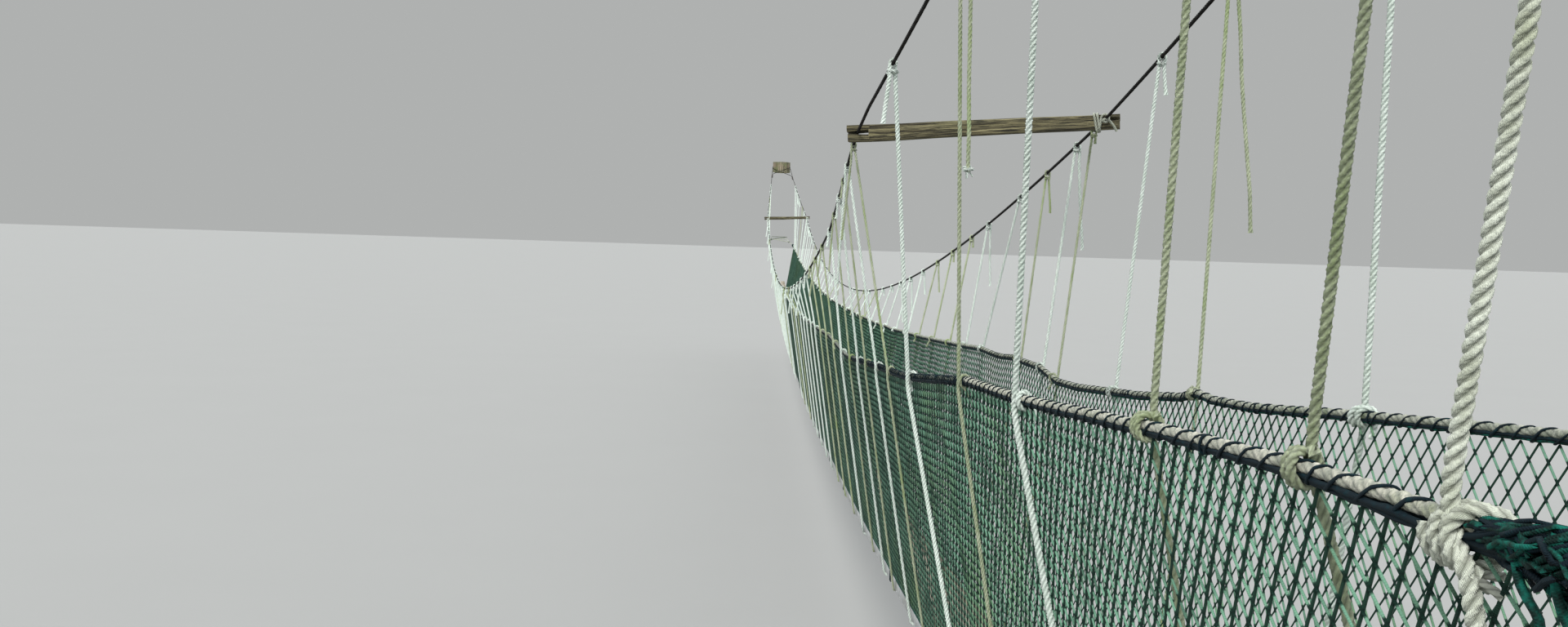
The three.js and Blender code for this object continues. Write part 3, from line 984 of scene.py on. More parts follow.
class Finishes:
    """Every material of the bridge."""

    def __init__(self) -> None:
        """Builds the shared groups and then each material."""
        effects = Effects()
        self.white = RopeFinish("white_rope", (0.90, 1.0, 0.93), (0.74, 0.86, 0.77), (0.15, 0.21, 0.18),
                                (0.62, 0.75, 0.56), 0.24, 0.68, speck_share=0.15).make(effects)
        self.yellow = RopeFinish("yellow_green_rope", (0.55, 0.61, 0.42), (0.38, 0.45, 0.27),
                                 (0.13, 0.17, 0.06), (0.33, 0.45, 0.15), 0.40, 0.66).make(effects)
        self.olive = RopeFinish("olive_rope", (0.46, 0.53, 0.34), (0.31, 0.37, 0.21),
                                (0.06, 0.075, 0.035), (0.26, 0.34, 0.14), 0.42, 0.80).make(effects)
        self.grey = RopeFinish("grey_beige_rope", (0.77, 0.82, 0.70), (0.54, 0.58, 0.46),
                               (0.08, 0.09, 0.06), (0.48, 0.53, 0.34), 0.34, 0.82).make(effects)
        self.rail = RopeFinish("handrail_rope", (0.84, 0.82, 0.68), (0.44, 0.46, 0.36), (0.05, 0.08, 0.06),
                               (0.34, 0.40, 0.16), 0.36, 0.50, 3.0, 48.0, 9.0, 0.55).make(effects)
        self.rail_grey = RopeFinish("shaded_handrail_rope", (0.62, 0.64, 0.52), (0.28, 0.32, 0.23),
                                    (0.03, 0.05, 0.035), (0.22, 0.29, 0.12), 0.40, 0.55, 3.0, 48.0, 9.0,
                                    0.55).make(effects)
        # a darker finish for one stretch of the left handrail
        self.rail_dark = RopeFinish("dark_stretch_handrail_rope", (0.20, 0.24, 0.17), (0.06, 0.085, 0.05),
                                    (0.008, 0.016, 0.010), (0.06, 0.10, 0.03), 0.45, 0.60, 3.0, 48.0, 9.0,
                                    0.55).make(effects)
        self.lacing = TwineFinish("lacing_twine", (0.002, 0.009, 0.014), (0.005, 0.032, 0.040),
                                  0.35, 0.75).make(effects)
        self.selvage = TwineFinish("selvage_twine", (0.002, 0.012, 0.010), (0.005, 0.120, 0.090),
                                   0.46, 0.7).make(effects)
        self.net = NetFinish().make(effects)
        self.cable = MetalFinish("black_wire_rope", (0.010, 0.010, 0.009), (0.018, 0.014, 0.010),
                                 (0.003, 0.003, 0.003), 0.60, 0.0, 6.0, gloss=0.15).make(effects)
        self.zinc = MetalFinish("zinc_plated_steel", (0.42, 0.43, 0.43), (0.27, 0.26, 0.24),
                                (0.10, 0.06, 0.03), 0.42).make(effects)
        self.aluminium = MetalFinish("ladder_aluminium", (0.58, 0.59, 0.60), (0.40, 0.41, 0.41),
                                     (0.16, 0.16, 0.12), 0.42, brush=(60.0, 2.0, 60.0)).make(effects)
        self.boards = TimberFinish("deck_boards", (0.36, 0.31, 0.24), (0.19, 0.15, 0.11),
                                   (0.03, 0.022, 0.016), (0.12, 0.15, 0.05), 0.42, (26.0, 1.6, 26.0),
                                   (0.42, 0.38, 0.31)).make(effects)
        self.beam = TimberFinish("beam_timber", (0.215, 0.192, 0.098), (0.030, 0.024, 0.011),
                                 (0.003, 0.0025, 0.0015), (0.06, 0.070, 0.025), 0.36,
                                 (3.2, 4.4, 4.4), turned=True, crack_from=0.50).make(effects)
        self.staves = TimberFinish("stave_timber", (0.27, 0.22, 0.16), (0.12, 0.09, 0.06),
                                   (0.015, 0.011, 0.008), (0.09, 0.13, 0.04), 0.5,
                                   (30.0, 30.0, 1.6)).make(effects)


class Workshop:
    """Turns surfaces into pieces of the scene and counts their triangles."""

    def __init__(self) -> None:
        """Starts the count."""
        self.total = 0

    def piece(self, name: str, surface: Surface, materials: list[bpy.types.Material], slot: str,
              replaces: list[str]) -> bpy.types.Object:
        """Makes one piece that rides on the bridge.

        Args:
            name: the piece's name.
            surface: its shape.
            materials: its finishes, in the order of the shape's marks.
            slot: the record's material slot.
            replaces: the plain nodes that it stands for.

        Returns:
            The object.
        """
        made = bpy.data.objects.new(name, surface.mesh(name))
        for material in materials:
            made.data.materials.append(material)
        bpy.context.scene.collection.objects.link(made)
        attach(made, BODY)
        if replaces:
            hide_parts(*replaces)
        self.total += surface.triangles()
        log.info("%-26s %7d triangles, %s", name, surface.triangles(), slot)
        return made


@dataclass
class Assembly:
    """A sub-assembly: the curves that it follows, its finishes and where its pieces are made."""

    lines: Lines
    finishes: Finishes
    workshop: Workshop


# Hangers


HANGER_STATIONS = (
    ((2.398, 2.621, 2.590), (2.500, 2.580, 2.420)),
    ((2.695, 2.937, 2.630), (2.930, 3.000, 2.780)),
    ((3.235, 3.457, 3.325), (3.400, 3.405, 3.220)),
    ((4.100, 4.270, 3.950), (4.130, 4.090, 4.000)),
    ((4.845, 4.990, 4.870), (5.105, 5.020, 4.850)),
    ((5.900, 6.020, 5.620), (5.740, 5.780, 5.660)),
    ((6.950, 6.670, 6.550), (6.600, 6.560, 6.580)),
    ((7.330, 7.110, 7.000), (6.850, 6.810, 6.980)),
    ((7.650, 7.600, 7.640), (7.350, 7.230, 7.420)),
    ((8.030, 8.000, 8.040), (7.900, 8.140, 8.000)),
    ((8.540, 8.500, 8.600), (8.700, 8.650, 8.650)),
    ((9.110, 9.080, 9.180), (9.220, 9.200, 9.240)),
    ((9.820, 9.790, 9.860), (9.900, 9.860, 9.900)),
    ((10.560, 10.500, 10.590), (10.540, 10.560, 10.620)),
    ((11.230, 11.190, 11.260), (11.250, 11.200, 11.290)),
    ((11.910, 11.900, 11.950), (11.960, 11.930, 11.990)),
    ((12.600, 12.560, 12.630), (12.620, 12.640, 12.650)),
    ((13.290, 13.270, 13.330), (13.270, 13.300, 13.320)),
    ((13.960, 13.930, 14.000), (14.010, 13.980, 14.020)),
    ((14.650, 14.620, 14.680), (14.640, 14.670, 14.700)),
    ((15.330, 15.300, 15.360), (15.370, 15.340, 15.380)),
    ((16.020, 15.990, 16.050), (16.010, 16.040, 16.070)),
    ((16.710, 16.680, 16.740), (16.740, 16.710, 16.760)),
    ((17.430, 17.400, 17.420), (17.410, 17.440, 17.450)),
)
TAILS = (0.420, 0.450, 0.560, 0.150, 0.180, 0.600, 0.240, 0.380, 0.660, 0.130, 0.210, 0.730)
SHORT_TAILS_FROM = 8
MIDDLING, SLIM = 0.0075, 0.0062


def all_stations(lines: Lines) -> Array:
    """Every hanger station, shaped (stations, sides, places): the near half and its mirror image."""
    near = np.array(HANGER_STATIONS)
    return np.concatenate([near, lines.mirror(near)[::-1]])


@dataclass(frozen=True)
class Hitch:
    """How a hanger is made fast to the handrail.

    Turns round the rail, which way they advance, how far a turn leans along the rail where it is
    farthest from the hanger, the loose tail, slack (above the rail, or below it where negative), an
    opened end, how far the hanger steps, how far the turns lie from it, and where the tail points.
    """

    turns: float = 1.5
    towards: float = -1.0
    lean: float = 0.012
    tail: float = 0.03
    loose: float = 0.001
    splayed: bool = False
    step: float = 0.0
    inside: bool = False
    shift: float = 0.0
    points: tuple = (-0.35, 0.55, -1.0)


@dataclass
class Hangers(Assembly):
    """The hanger ropes, each with its cable hitch, its rail hitch and its loose tail."""

    near_until: float = 4.6
    round_until: float = 6.5
    middle_until: float = 9.0
    squeeze: float = 0.66
    knot_drop: float = 0.024
    bite: float = 0.55
    sway: float = 0.004
    plain_from: int = 10
    white_share: float = 0.72
    knotted_tail: tuple = (4, Side.LEFT)
    near_sizes: dict = field(default_factory=lambda: {
        (0, Side.LEFT): 0.0088, (1, Side.LEFT): 0.0073, (2, Side.LEFT): 0.0068, (3, Side.LEFT): 0.0082,
        (3, Side.RIGHT): 0.0079, (4, Side.LEFT): 0.0063, (4, Side.RIGHT): 0.0064, (5, Side.LEFT): 0.0090,
        (5, Side.RIGHT): 0.0070,
    })
    near_hitches: dict = field(default_factory=lambda: {
        (0, Side.LEFT): Hitch(2.15, -1.0, -0.034, 0.008, -0.014, True, 0.043, shift=0.018,
                              points=(-0.9, 0.6, -0.45)),
        (1, Side.LEFT): Hitch(2.15, -0.8, -0.004, 0.008, 0.004, step=0.036, inside=True),
        (2, Side.LEFT): Hitch(2.15, -1.3, 0.010, 0.008, 0.005, step=0.018, inside=True),
        (2, Side.RIGHT): Hitch(1.25, -1.0, -0.010, 0.004, 0.0, step=0.010),
        (3, Side.LEFT): Hitch(1.3, -1.0, 0.006, 0.025, 0.0),
        (3, Side.RIGHT): Hitch(2.1, -1.8, 0.010, 0.020, 0.001),
        (4, Side.RIGHT): Hitch(1.6, -1.2, 0.010, 0.020, 0.0),
        (5, Side.RIGHT): Hitch(2.0, -1.7, 0.014, 0.020, 0.0),
    })
    near_leans: dict = field(default_factory=lambda: {
        (4, Side.LEFT): (-3.6, -0.02, -0.01), (4, Side.RIGHT): (2.2, 0.10, -0.03),
    })
    near_tails: dict = field(default_factory=lambda: {
        (3, Side.RIGHT): 0.20, (4, Side.LEFT): 0.652, (6, Side.RIGHT): 0.04,
    })

    def cut(self, y: float, radius: float) -> RopeCut:
        """Mesh density for a hanger: fine at the near end, where it is seen from close by.

        Args:
            y: where the hanger is.
            radius: its radius.

        Returns:
            Its sizes and mesh density.
        """
        if y < self.near_until:
            return RopeCut(radius, sides=12, step=0.0062)
        if y < self.middle_until:
            return RopeCut(radius, sides=9 if y < self.round_until else 6, step=0.010)
        return RopeCut(radius, sides=5, step=0.12, lay=0.060, plain=True)

    def finish(self, index: int, side: Side) -> tuple[bpy.types.Material, float]:
        """Finish and radius of a rope: by turns near the camera, and farther off mostly white.

        Args:
            index: the station, counted from nought.
            side: which side of the bridge.

        Returns:
            The material and the radius.
        """
        first = {0: self.finishes.grey, 1: self.finishes.olive, 2: self.finishes.yellow}
        white = bool(index % 2)
        if index >= self.plain_from:
            white = np.random.default_rng(900 + 2 * index + side.value).random() < self.white_share
        plain = self.finishes.white if white else self.finishes.yellow
        size = self.near_sizes.get((index, side), MIDDLING if white else SLIM)
        return first.get(index, plain), size

    def route(self, side: Side, places: Array, tail: float, hitch: Hitch, r: float, meet_y: float,
              dip: float, seed: int, leans: tuple | None) -> tuple[Array, Array]:
        """One side's route: loose tail, a turn and a half on the cable, rail, and under the deck.

        Args:
            side: which side of the bridge.
            places: Y at the cable, at the handrail and at the deck.
            tail: length of the loose tail below the cable.
            hitch: how it is made fast to the rail, which says on which side of the rail it passes.
            r: the rope's radius.
            meet_y: Y where the rope meets its other half under the middle of the deck.
            dip: how much lower it runs there, to pass under the rope that it crosses.
            seed: picks how the tail hangs.
            leans: how far beside the cable the tail starts, in radii, and how it leans, or none.

        Returns:
            The rounded polyline, and its swell: it is squeezed where it turns round the cable.
        """
        lines = self.lines
        draw = np.random.default_rng(seed)
        cable_y, rail_y, deck_y = places
        turn = lines.cable_r + self.squeeze * r
        angle = np.linspace(0, 1.5 * TURN, 22)
        wrap_y = cable_y + 2.1 * self.squeeze * r * (angle / TURN - 0.75)
        wrap_x = lines.cable_x(wrap_y, side) + turn * np.cos(angle)
        wrap = np.stack([wrap_x, wrap_y, lines.cable_z(wrap_y) + turn * np.sin(angle)], axis=1)
        cx, cz = lines.cable_x(cable_y, side), lines.cable_z(cable_y)
        beside = r * (leans[0] if leans else 0.9)
        fall = np.linspace(0, 1, 7)[::-1, None] * (max(tail, 0.06) - self.knot_drop)
        lean = np.array([draw.uniform(0.02, 0.12), draw.uniform(-0.02, 0.10), -1.0])
        if leans:
            lean = np.array([leans[1], leans[2], -1.0])
        start = np.array([cx + beside, cable_y - 0.004, cz - self.knot_drop]) + fall * lean
        start[:, 1] += 0.010 * ripple(fall[:, 0], seed, 0.5) * eased(fall[:, 0] / 0.2)
        close = lines.wrap_wide + r - 0.6 * min(abs(hitch.loose), 0.008)
        rail_x = lines.rail_half + (-1 if hitch.inside else 1) * close
        rail_z = lines.rail_height(rail_y, side)
        foot = lines.deck_half + r + 0.0008
        below = lines.ladder_bottom(deck_y)
        low = below - r - 0.0008
        rest = [[cx - np.clip(beside, -r, r), cable_y + 0.004, cz - self.knot_drop],
                [rail_x, rail_y, rail_z + 0.006], [rail_x, rail_y - hitch.step, rail_z - 0.030]]
        if hitch.inside:
            rest.append([foot - 0.002, deck_y, lines.deck_z(deck_y) + 0.085])
        rest += [[foot, deck_y, below - 0.004], [lines.deck_half + 0.004, deck_y, low],
                 [0.04, deck_y + 0.73 * (meet_y - deck_y), low - dip],
                 [-0.001, meet_y, lines.ladder_bottom(meet_y) - r - 0.0008 - dip]]
        head = filleted(start, 0.02)
        route = np.concatenate([head[:-1], wrap, filleted(np.array(rest), 0.05)])
        run = lengths_along(route)
        tied, loose = run[len(head) - 1], run[len(head) + 20]
        swell = np.array([[0, 1.25], [0.02, 1.0], [tied - 0.020, 1.0], [tied, self.squeeze],
                          [loose, self.squeeze], [loose + 0.025, 1.0], [run[-1], 1.0]])
        return route * np.array([side.value, 1, 1]), swell

    def swayed(self, route: Array, seed: int) -> Array:
        """The route with slow waves along the bridge, none near the cable, the rail or the deck.

        Args:
            route: the rope's route.
            seed: picks the noise.

        Returns:
            The route, moved along the bridge only.
        """
        run = lengths_along(route)
        places = paced(route, 0.03)
        far = lengths_along(places)
        lines = self.lines
        below_cable = eased((lines.cable_z(places[:, 1]) - places[:, 2] - 0.10) / 0.25)
        off_rail = eased(np.abs(lines.rail_z(places[:, 1]) - places[:, 2]) / 0.20)
        above_deck = eased((places[:, 2] - lines.deck_z(places[:, 1]) - 0.02) / 0.2)
        wave = self.sway * below_cable * off_rail * above_deck * ripple(far, seed, 0.55)
        return route + np.interp(run, far, wave)[:, None] * ALONG

    def cable_knot(self, surface: Surface, side: Side, cable_y: float, cut: RopeCut, mark: int,
                   seed: int) -> None:
        """A wrap that binds the tail to the rope close under the cable: a squashed helix.

        Args:
            surface: where the shape goes.
            side: which side of the bridge.
            cable_y: where the rope crosses the cable.
            cut: the rope's sizes and mesh density.
            mark: which of the piece's materials it takes.
            seed: varies how many turns it has and where they start.
        """
        lines = self.lines
        turns = 1.2 + 0.5 * (seed % 2)
        share = np.linspace(0, 1, 22)
        angle = TURN * (turns * share + 0.1 * (seed % 5))
        middle = np.array([side.value * lines.cable_x(cable_y, side), cable_y, lines.cable_z(cable_y)])
        tuck = 1 - 0.5 * np.clip(np.abs(2 * share - 1) * 5 - 4, 0, 1)
        offset = np.stack([2.0 * cut.radius * tuck * np.cos(angle), 1.5 * cut.radius * tuck * np.sin(angle),
                           0.004 - self.knot_drop - 1.2 * cut.radius * turns * share], axis=1)
        add_rope(surface, middle + offset, replace(cut, radius=cut.radius * 0.72), keeper=UP, mark=mark)

    def rail_hitch(self, surface: Surface, side: Side, rail_y: float, hitch: Hitch, cut: RopeCut,
                   mark: int) -> None:
        """Turns round the handrail that start in the hanger and end in a short tail.

        The turns are a helix round the rail's oval. Each goes down on the side away from the hanger,
        where it leans along the rail.

        Args:
            surface: where the rope goes.
            side: which handrail.
            rail_y: where the hanger meets it.
            hitch: turns, direction and tail.
            cut: the rope's sizes.
            mark: which of the piece's materials it takes.
        """
        lines = self.lines
        r = cut.radius
        count = TURN * np.linspace(0, hitch.turns, int(20 * hitch.turns))
        angle = (np.pi if hitch.inside else 0.0) - count
        y = rail_y + hitch.towards * 2.0 * r * count / TURN + hitch.lean * (1 - np.cos(count)) / 2
        y = y + hitch.shift
        reach = self.bite * r + np.abs(hitch.loose) * (1 + np.sign(hitch.loose) * np.sin(angle)) / 2
        x = lines.rail_half + (lines.wrap_wide + reach) * np.cos(angle)
        z = lines.rail_height(y, side) + (lines.wrap_tall + reach) * np.sin(angle)
        turns = np.stack([x, y, z], axis=1)
        end = turns[-1] + unit(turns[-1] - turns[-2]) * 0.012
        drop = np.array(hitch.points) * np.array([1, np.sign(hitch.towards), 1]) * hitch.tail
        ends = np.array([turns[-1], end, end + 0.5 * drop, end + drop])
        route = np.concatenate([turns, filleted(ends, 0.02)[1:]]) * np.array([side.value, 1, 1])
        total = lengths_along(route)[-1]
        swell = np.array([[0, 0.7], [0.02, 0.92], [total - 0.030, 0.92], [total - 0.015, 1.0], [total, 1.15]])
        add_rope(surface, route, cut, mark=mark, swell=swell)
        if hitch.splayed:
            self.splay(surface, route[-1], unit(route[-1] - route[-3]), cut, mark)

    def splay(self, surface: Surface, tip: Array, away: Array, cut: RopeCut, mark: int) -> None:
        """Three opened strands at the end of a cut rope.

        Args:
            surface: where the shape goes.
            tip: the rope's end.
            away: where it points.
            cut: the rope's sizes and mesh density.
            mark: which of the piece's materials it takes.
        """
        across = unit(np.cross(away, ALONG))
        for k in range(3):
            lean = across * np.cos(TURN * k / 3) + ALONG * np.sin(TURN * k / 3)
            base = tip + lean * 0.003 - away * 0.006
            points = np.array([base, base + away * 0.012 + lean * 0.003, base + away * 0.022 + lean * 0.008])
            strand = RopeCut(cut.radius * 0.48, sides=9, step=0.003, lay=0.03, depth=0.2, hand=Lay.LEFT)
            add_rope(surface, filleted(points, 0.01), strand, mark=mark)

    def stopper(self, surface: Surface, tip: Array, radius: float, mark: int) -> None:
        """A stopper knot with frayed strands on the end of a loose tail: two tight turns.

        Args:
            surface: where the shape goes.
            tip: the tail's end.
            radius: the tail's radius.
            mark: which of the piece's materials it takes.
        """
        share = np.linspace(0, 1, 26)
        angle = 2 * TURN * share
        reach = 1.5 * radius * np.sin(np.pi * np.clip(share, 0.12, 0.88))
        coil = tip + np.stack([1.4 * reach * np.cos(angle), reach * np.sin(angle), 0.014 * share], axis=1)
        cut = RopeCut(radius * 0.8, sides=9, step=0.004)
        add_rope(surface, coil, cut, keeper=UP, mark=mark)
        self.splay(surface, tip, np.array([0.25, 0.0, -1.0]), cut, mark)

    def build(self) -> None:
        """Makes one piece for each station, with its left and right rope."""
        lines = self.lines
        stations = all_stations(lines)
        draw = np.random.default_rng(11)
        for index in range(len(stations)):
            first = index % 2 == 0
            partner = index + 1 if first else index - 1
            surface = Surface()
            materials = []
            for k, side in enumerate(Side):
                places = stations[index, k]
                meet = (places[2] + stations[partner, 1 - k, 2]) / 2
                strand = (0 if k == 0 else 3) if first else (2 if k == 0 else 1)
                tail = TAILS[((index - index % 2) * 2 + strand) % len(TAILS)]
                tail = tail / (1 if index < SHORT_TAILS_FROM else 2)
                tail = self.near_tails.get((index, side), tail)
                material, r = self.finish(index, side)
                materials.append(material)
                dip = 0.0 if strand in (0, 1) else 2 * r + 0.0005
                cut = self.cut(places[0], r)
                turns = draw.uniform(1.1, 2.2)
                towards = 1 if draw.random() < 0.5 else -1
                plain = Hitch(turns, towards, draw.uniform(0.0, 0.02), draw.uniform(0.015, 0.04))
                hitch = self.near_hitches.get((index, side), plain)
                seed = 40 + 2 * index + k
                route, swell = self.route(side, places, tail, hitch, r, meet, dip, seed,
                                          self.near_leans.get((index, side)))
                add_rope(surface, self.swayed(route, seed), cut, mark=k, swell=swell)
                self.cable_knot(surface, side, places[0], cut, k, index + k)
                self.rail_hitch(surface, side, places[1], hitch, cut, k)
                if (index, side) == self.knotted_tail:
                    self.stopper(surface, route[0], r, 2)
            if index == self.knotted_tail[0]:
                materials.append(self.finishes.white)
            slot = "white_rope" if index % 2 and index > 2 else "weathered_rope"
            self.workshop.piece(f"hanger_ropes_{index + 1:02d}", surface, materials, slot,
                                [f"hanger_pair_{index // 2 + 1:02d}"])


# Lines from end to end


@dataclass(frozen=True)
class Eye:
    """The eye at each end of a rope: how high it is lifted and where its tail lies."""

    half: float
    lift: float
    tail_from: float
    tail_to: float
    sides: int = 12


def eye_route(lines: Lines, eye: Eye, side: Side, radius: float, x_at: Curve, z_at: Curve) -> Array:
    """The near eye: the tail beside the rope's inner side, across the front and round the back.

    Args:
        lines: the bridge's curves.
        eye: the eye's sizes.
        side: which rope of the pair.
        radius: the rope's radius.
        x_at: the rope's half spacing as a function of Y.
        z_at: its height as a function of Y.

    Returns:
        Corners of the route, from the tail's end to where the rope leaves the eye.
    """
    tail = np.array([eye.tail_from, eye.tail_to])
    beside = np.stack([side.value * (x_at(tail) - 2.15 * radius), tail, z_at(tail) + eye.lift], axis=1)
    corner = eye.half / np.cos(np.pi / eye.sides)
    angle = (1.5 - np.arange(eye.sides // 2 + 2)) / eye.sides * TURN
    y = lines.near_end + corner * np.sin(angle)
    height = z_at(np.maximum(y, lines.near_end)) + eye.lift
    return np.concatenate([beside, np.stack([-side.value * corner * np.cos(angle), y, height], axis=1)])


def whole_route(lines: Lines, eye: Eye, side: Side, radius: float, x_at: Curve, height: Curve,
                extra: Curve) -> Array:
    """A rope's route from the tail of its near eye to the tail of its far eye.

    Args:
        lines: the bridge's curves.
        eye: the eyes' sizes, the same at each end.
        side: which rope of the pair.
        radius: the rope's radius.
        x_at: half spacing as a function of Y.
        height: height as a function of Y.
        extra: a small extra height as a function of Y.

    Returns:
        The rounded polyline.
    """
    def z_at(y: Array) -> Array:
        """Height less the share of the eye's lift that has faded out."""
        faded = (lines.from_end(y) - eye.tail_from) / (lines.eyes_settle - eye.tail_from)
        return height(y) - eye.lift * np.clip(faded, 0, 1)

    near = eye_route(lines, eye, side, radius, x_at, z_at)
    leave = near[-1, 1] + 0.15
    y = np.arange(leave, lines.mirror(leave), 0.05)
    span = np.stack([side.value * x_at(y), y, z_at(y) + eye.lift + extra(y)], axis=1)
    far = near[::-1].copy()
    far[:, 1] = lines.mirror(far[:, 1])
    return np.concatenate([filleted(np.concatenate([near, span[:1]]), 0.06)[:-1], span,
                           filleted(np.concatenate([span[-1:], far]), 0.06)[1:]])


@dataclass
class MainCables(Assembly):
    """Two black wire ropes from end to end, with wire rope grips on their eyes."""

    dense_until: float = 9.0
    near_step: float = 0.012
    far_step: float = 0.22
    lay: float = 0.090
    groove: float = 0.22
    tail_from: float = 1.560
    tail_to: float = 1.120
    grips: int = 3

    def eye(self, side: Side) -> Eye:
        """The eye's sizes, one cable's above the other's."""
        half = self.lines.post_across / 2 + self.lines.packing_thick + self.lines.cable_r
        return Eye(half, -side.value * self.lines.cable_step / 2, self.tail_from, self.tail_to)

    def build(self) -> None:
        """Makes each cable with six lobes near the camera and a painted lay past there."""
        lines = self.lines
        for side in Side:
            eye = self.eye(side)
            route = whole_route(lines, eye, side, lines.cable_r, lambda y: lines.cable_x(y, side),
                                lines.cable_z, lambda y: np.zeros(np.shape(y)))
            surface = Surface()
            run = lengths_along(route)
            split = run[np.argmax(route[:, 1] > self.dense_until)]
            fine = paced(route, self.near_step)
            near = fine[: np.argmax(lengths_along(fine) > split)]
            rest = np.concatenate([near[-2:-1], route[run > split]])
            cut = RopeCut(lines.cable_r, 6, 12, self.near_step, self.lay, self.groove)
            add_rope(surface, near, cut, keeper=UP)
            add_rope(surface, rest, replace(cut, sides=9, step=self.far_step, plain=True), keeper=UP)
            self.add_grips(surface, eye, side)
            name = side.name.lower()
            self.workshop.piece(f"wire_rope_{name}", surface, [self.finishes.cable, self.finishes.zinc],
                                "steel_rope", [f"main_cable_{name}", f"cable_eye_{name}_near",
                                               f"cable_eye_{name}_far"])

    def add_grips(self, surface: Surface, eye: Eye, side: Side) -> None:
        """Puts grips along each eye: a saddle, a U-bolt round both ropes and two nuts.

        Args:
            surface: where the shape goes.
            eye: the eye's sizes.
            side: which side of the bridge.
        """
        lines = self.lines
        for end in (0, 1):
            for k in range(self.grips):
                place = self.tail_to + (k + 0.5) / self.grips * (self.tail_from - self.tail_to)
                y = lines.mirror(place) if end else place
                x = side.value * (lines.cable_x(y, side) - 1.08 * lines.cable_r)
                z = lines.cable_z(y) + eye.lift
                self.add_grip(surface, np.array([x, y, z]))

    def add_grip(self, surface: Surface, middle: Array) -> None:
        """One grip: the U-bolt stands over the two ropes and its nuts sit on the saddle below.

        Args:
            surface: where the shape goes.
            middle: halfway between the two ropes.
        """
        r = self.lines.cable_r
        rod = 0.0035
        angle = np.linspace(0, np.pi, 11)
        half = 2 * r + rod
        bow = np.stack([half * np.cos(angle), np.zeros(11), 0.003 + (r + rod) * np.sin(angle)], axis=1)
        leg = np.array([half, 0, -0.026])
        bolt = np.concatenate([[leg], bow, [leg * np.array([-1, 1, 1])]])
        add_tube(surface, paced(middle + bolt, 0.003), rod, 8, mark=1)
        add_block(surface, middle - np.array([0, 0, r + 0.004]), (4 * r + 0.018, 0.022, 0.009), mark=1)
        for sign in (-1, 1):
            nut = middle + np.array([sign * half, 0, -r - 0.0125])
            add_tube(surface, nut + np.outer((0.0035, 0, -0.0035), UP), 0.0068, mark=1)


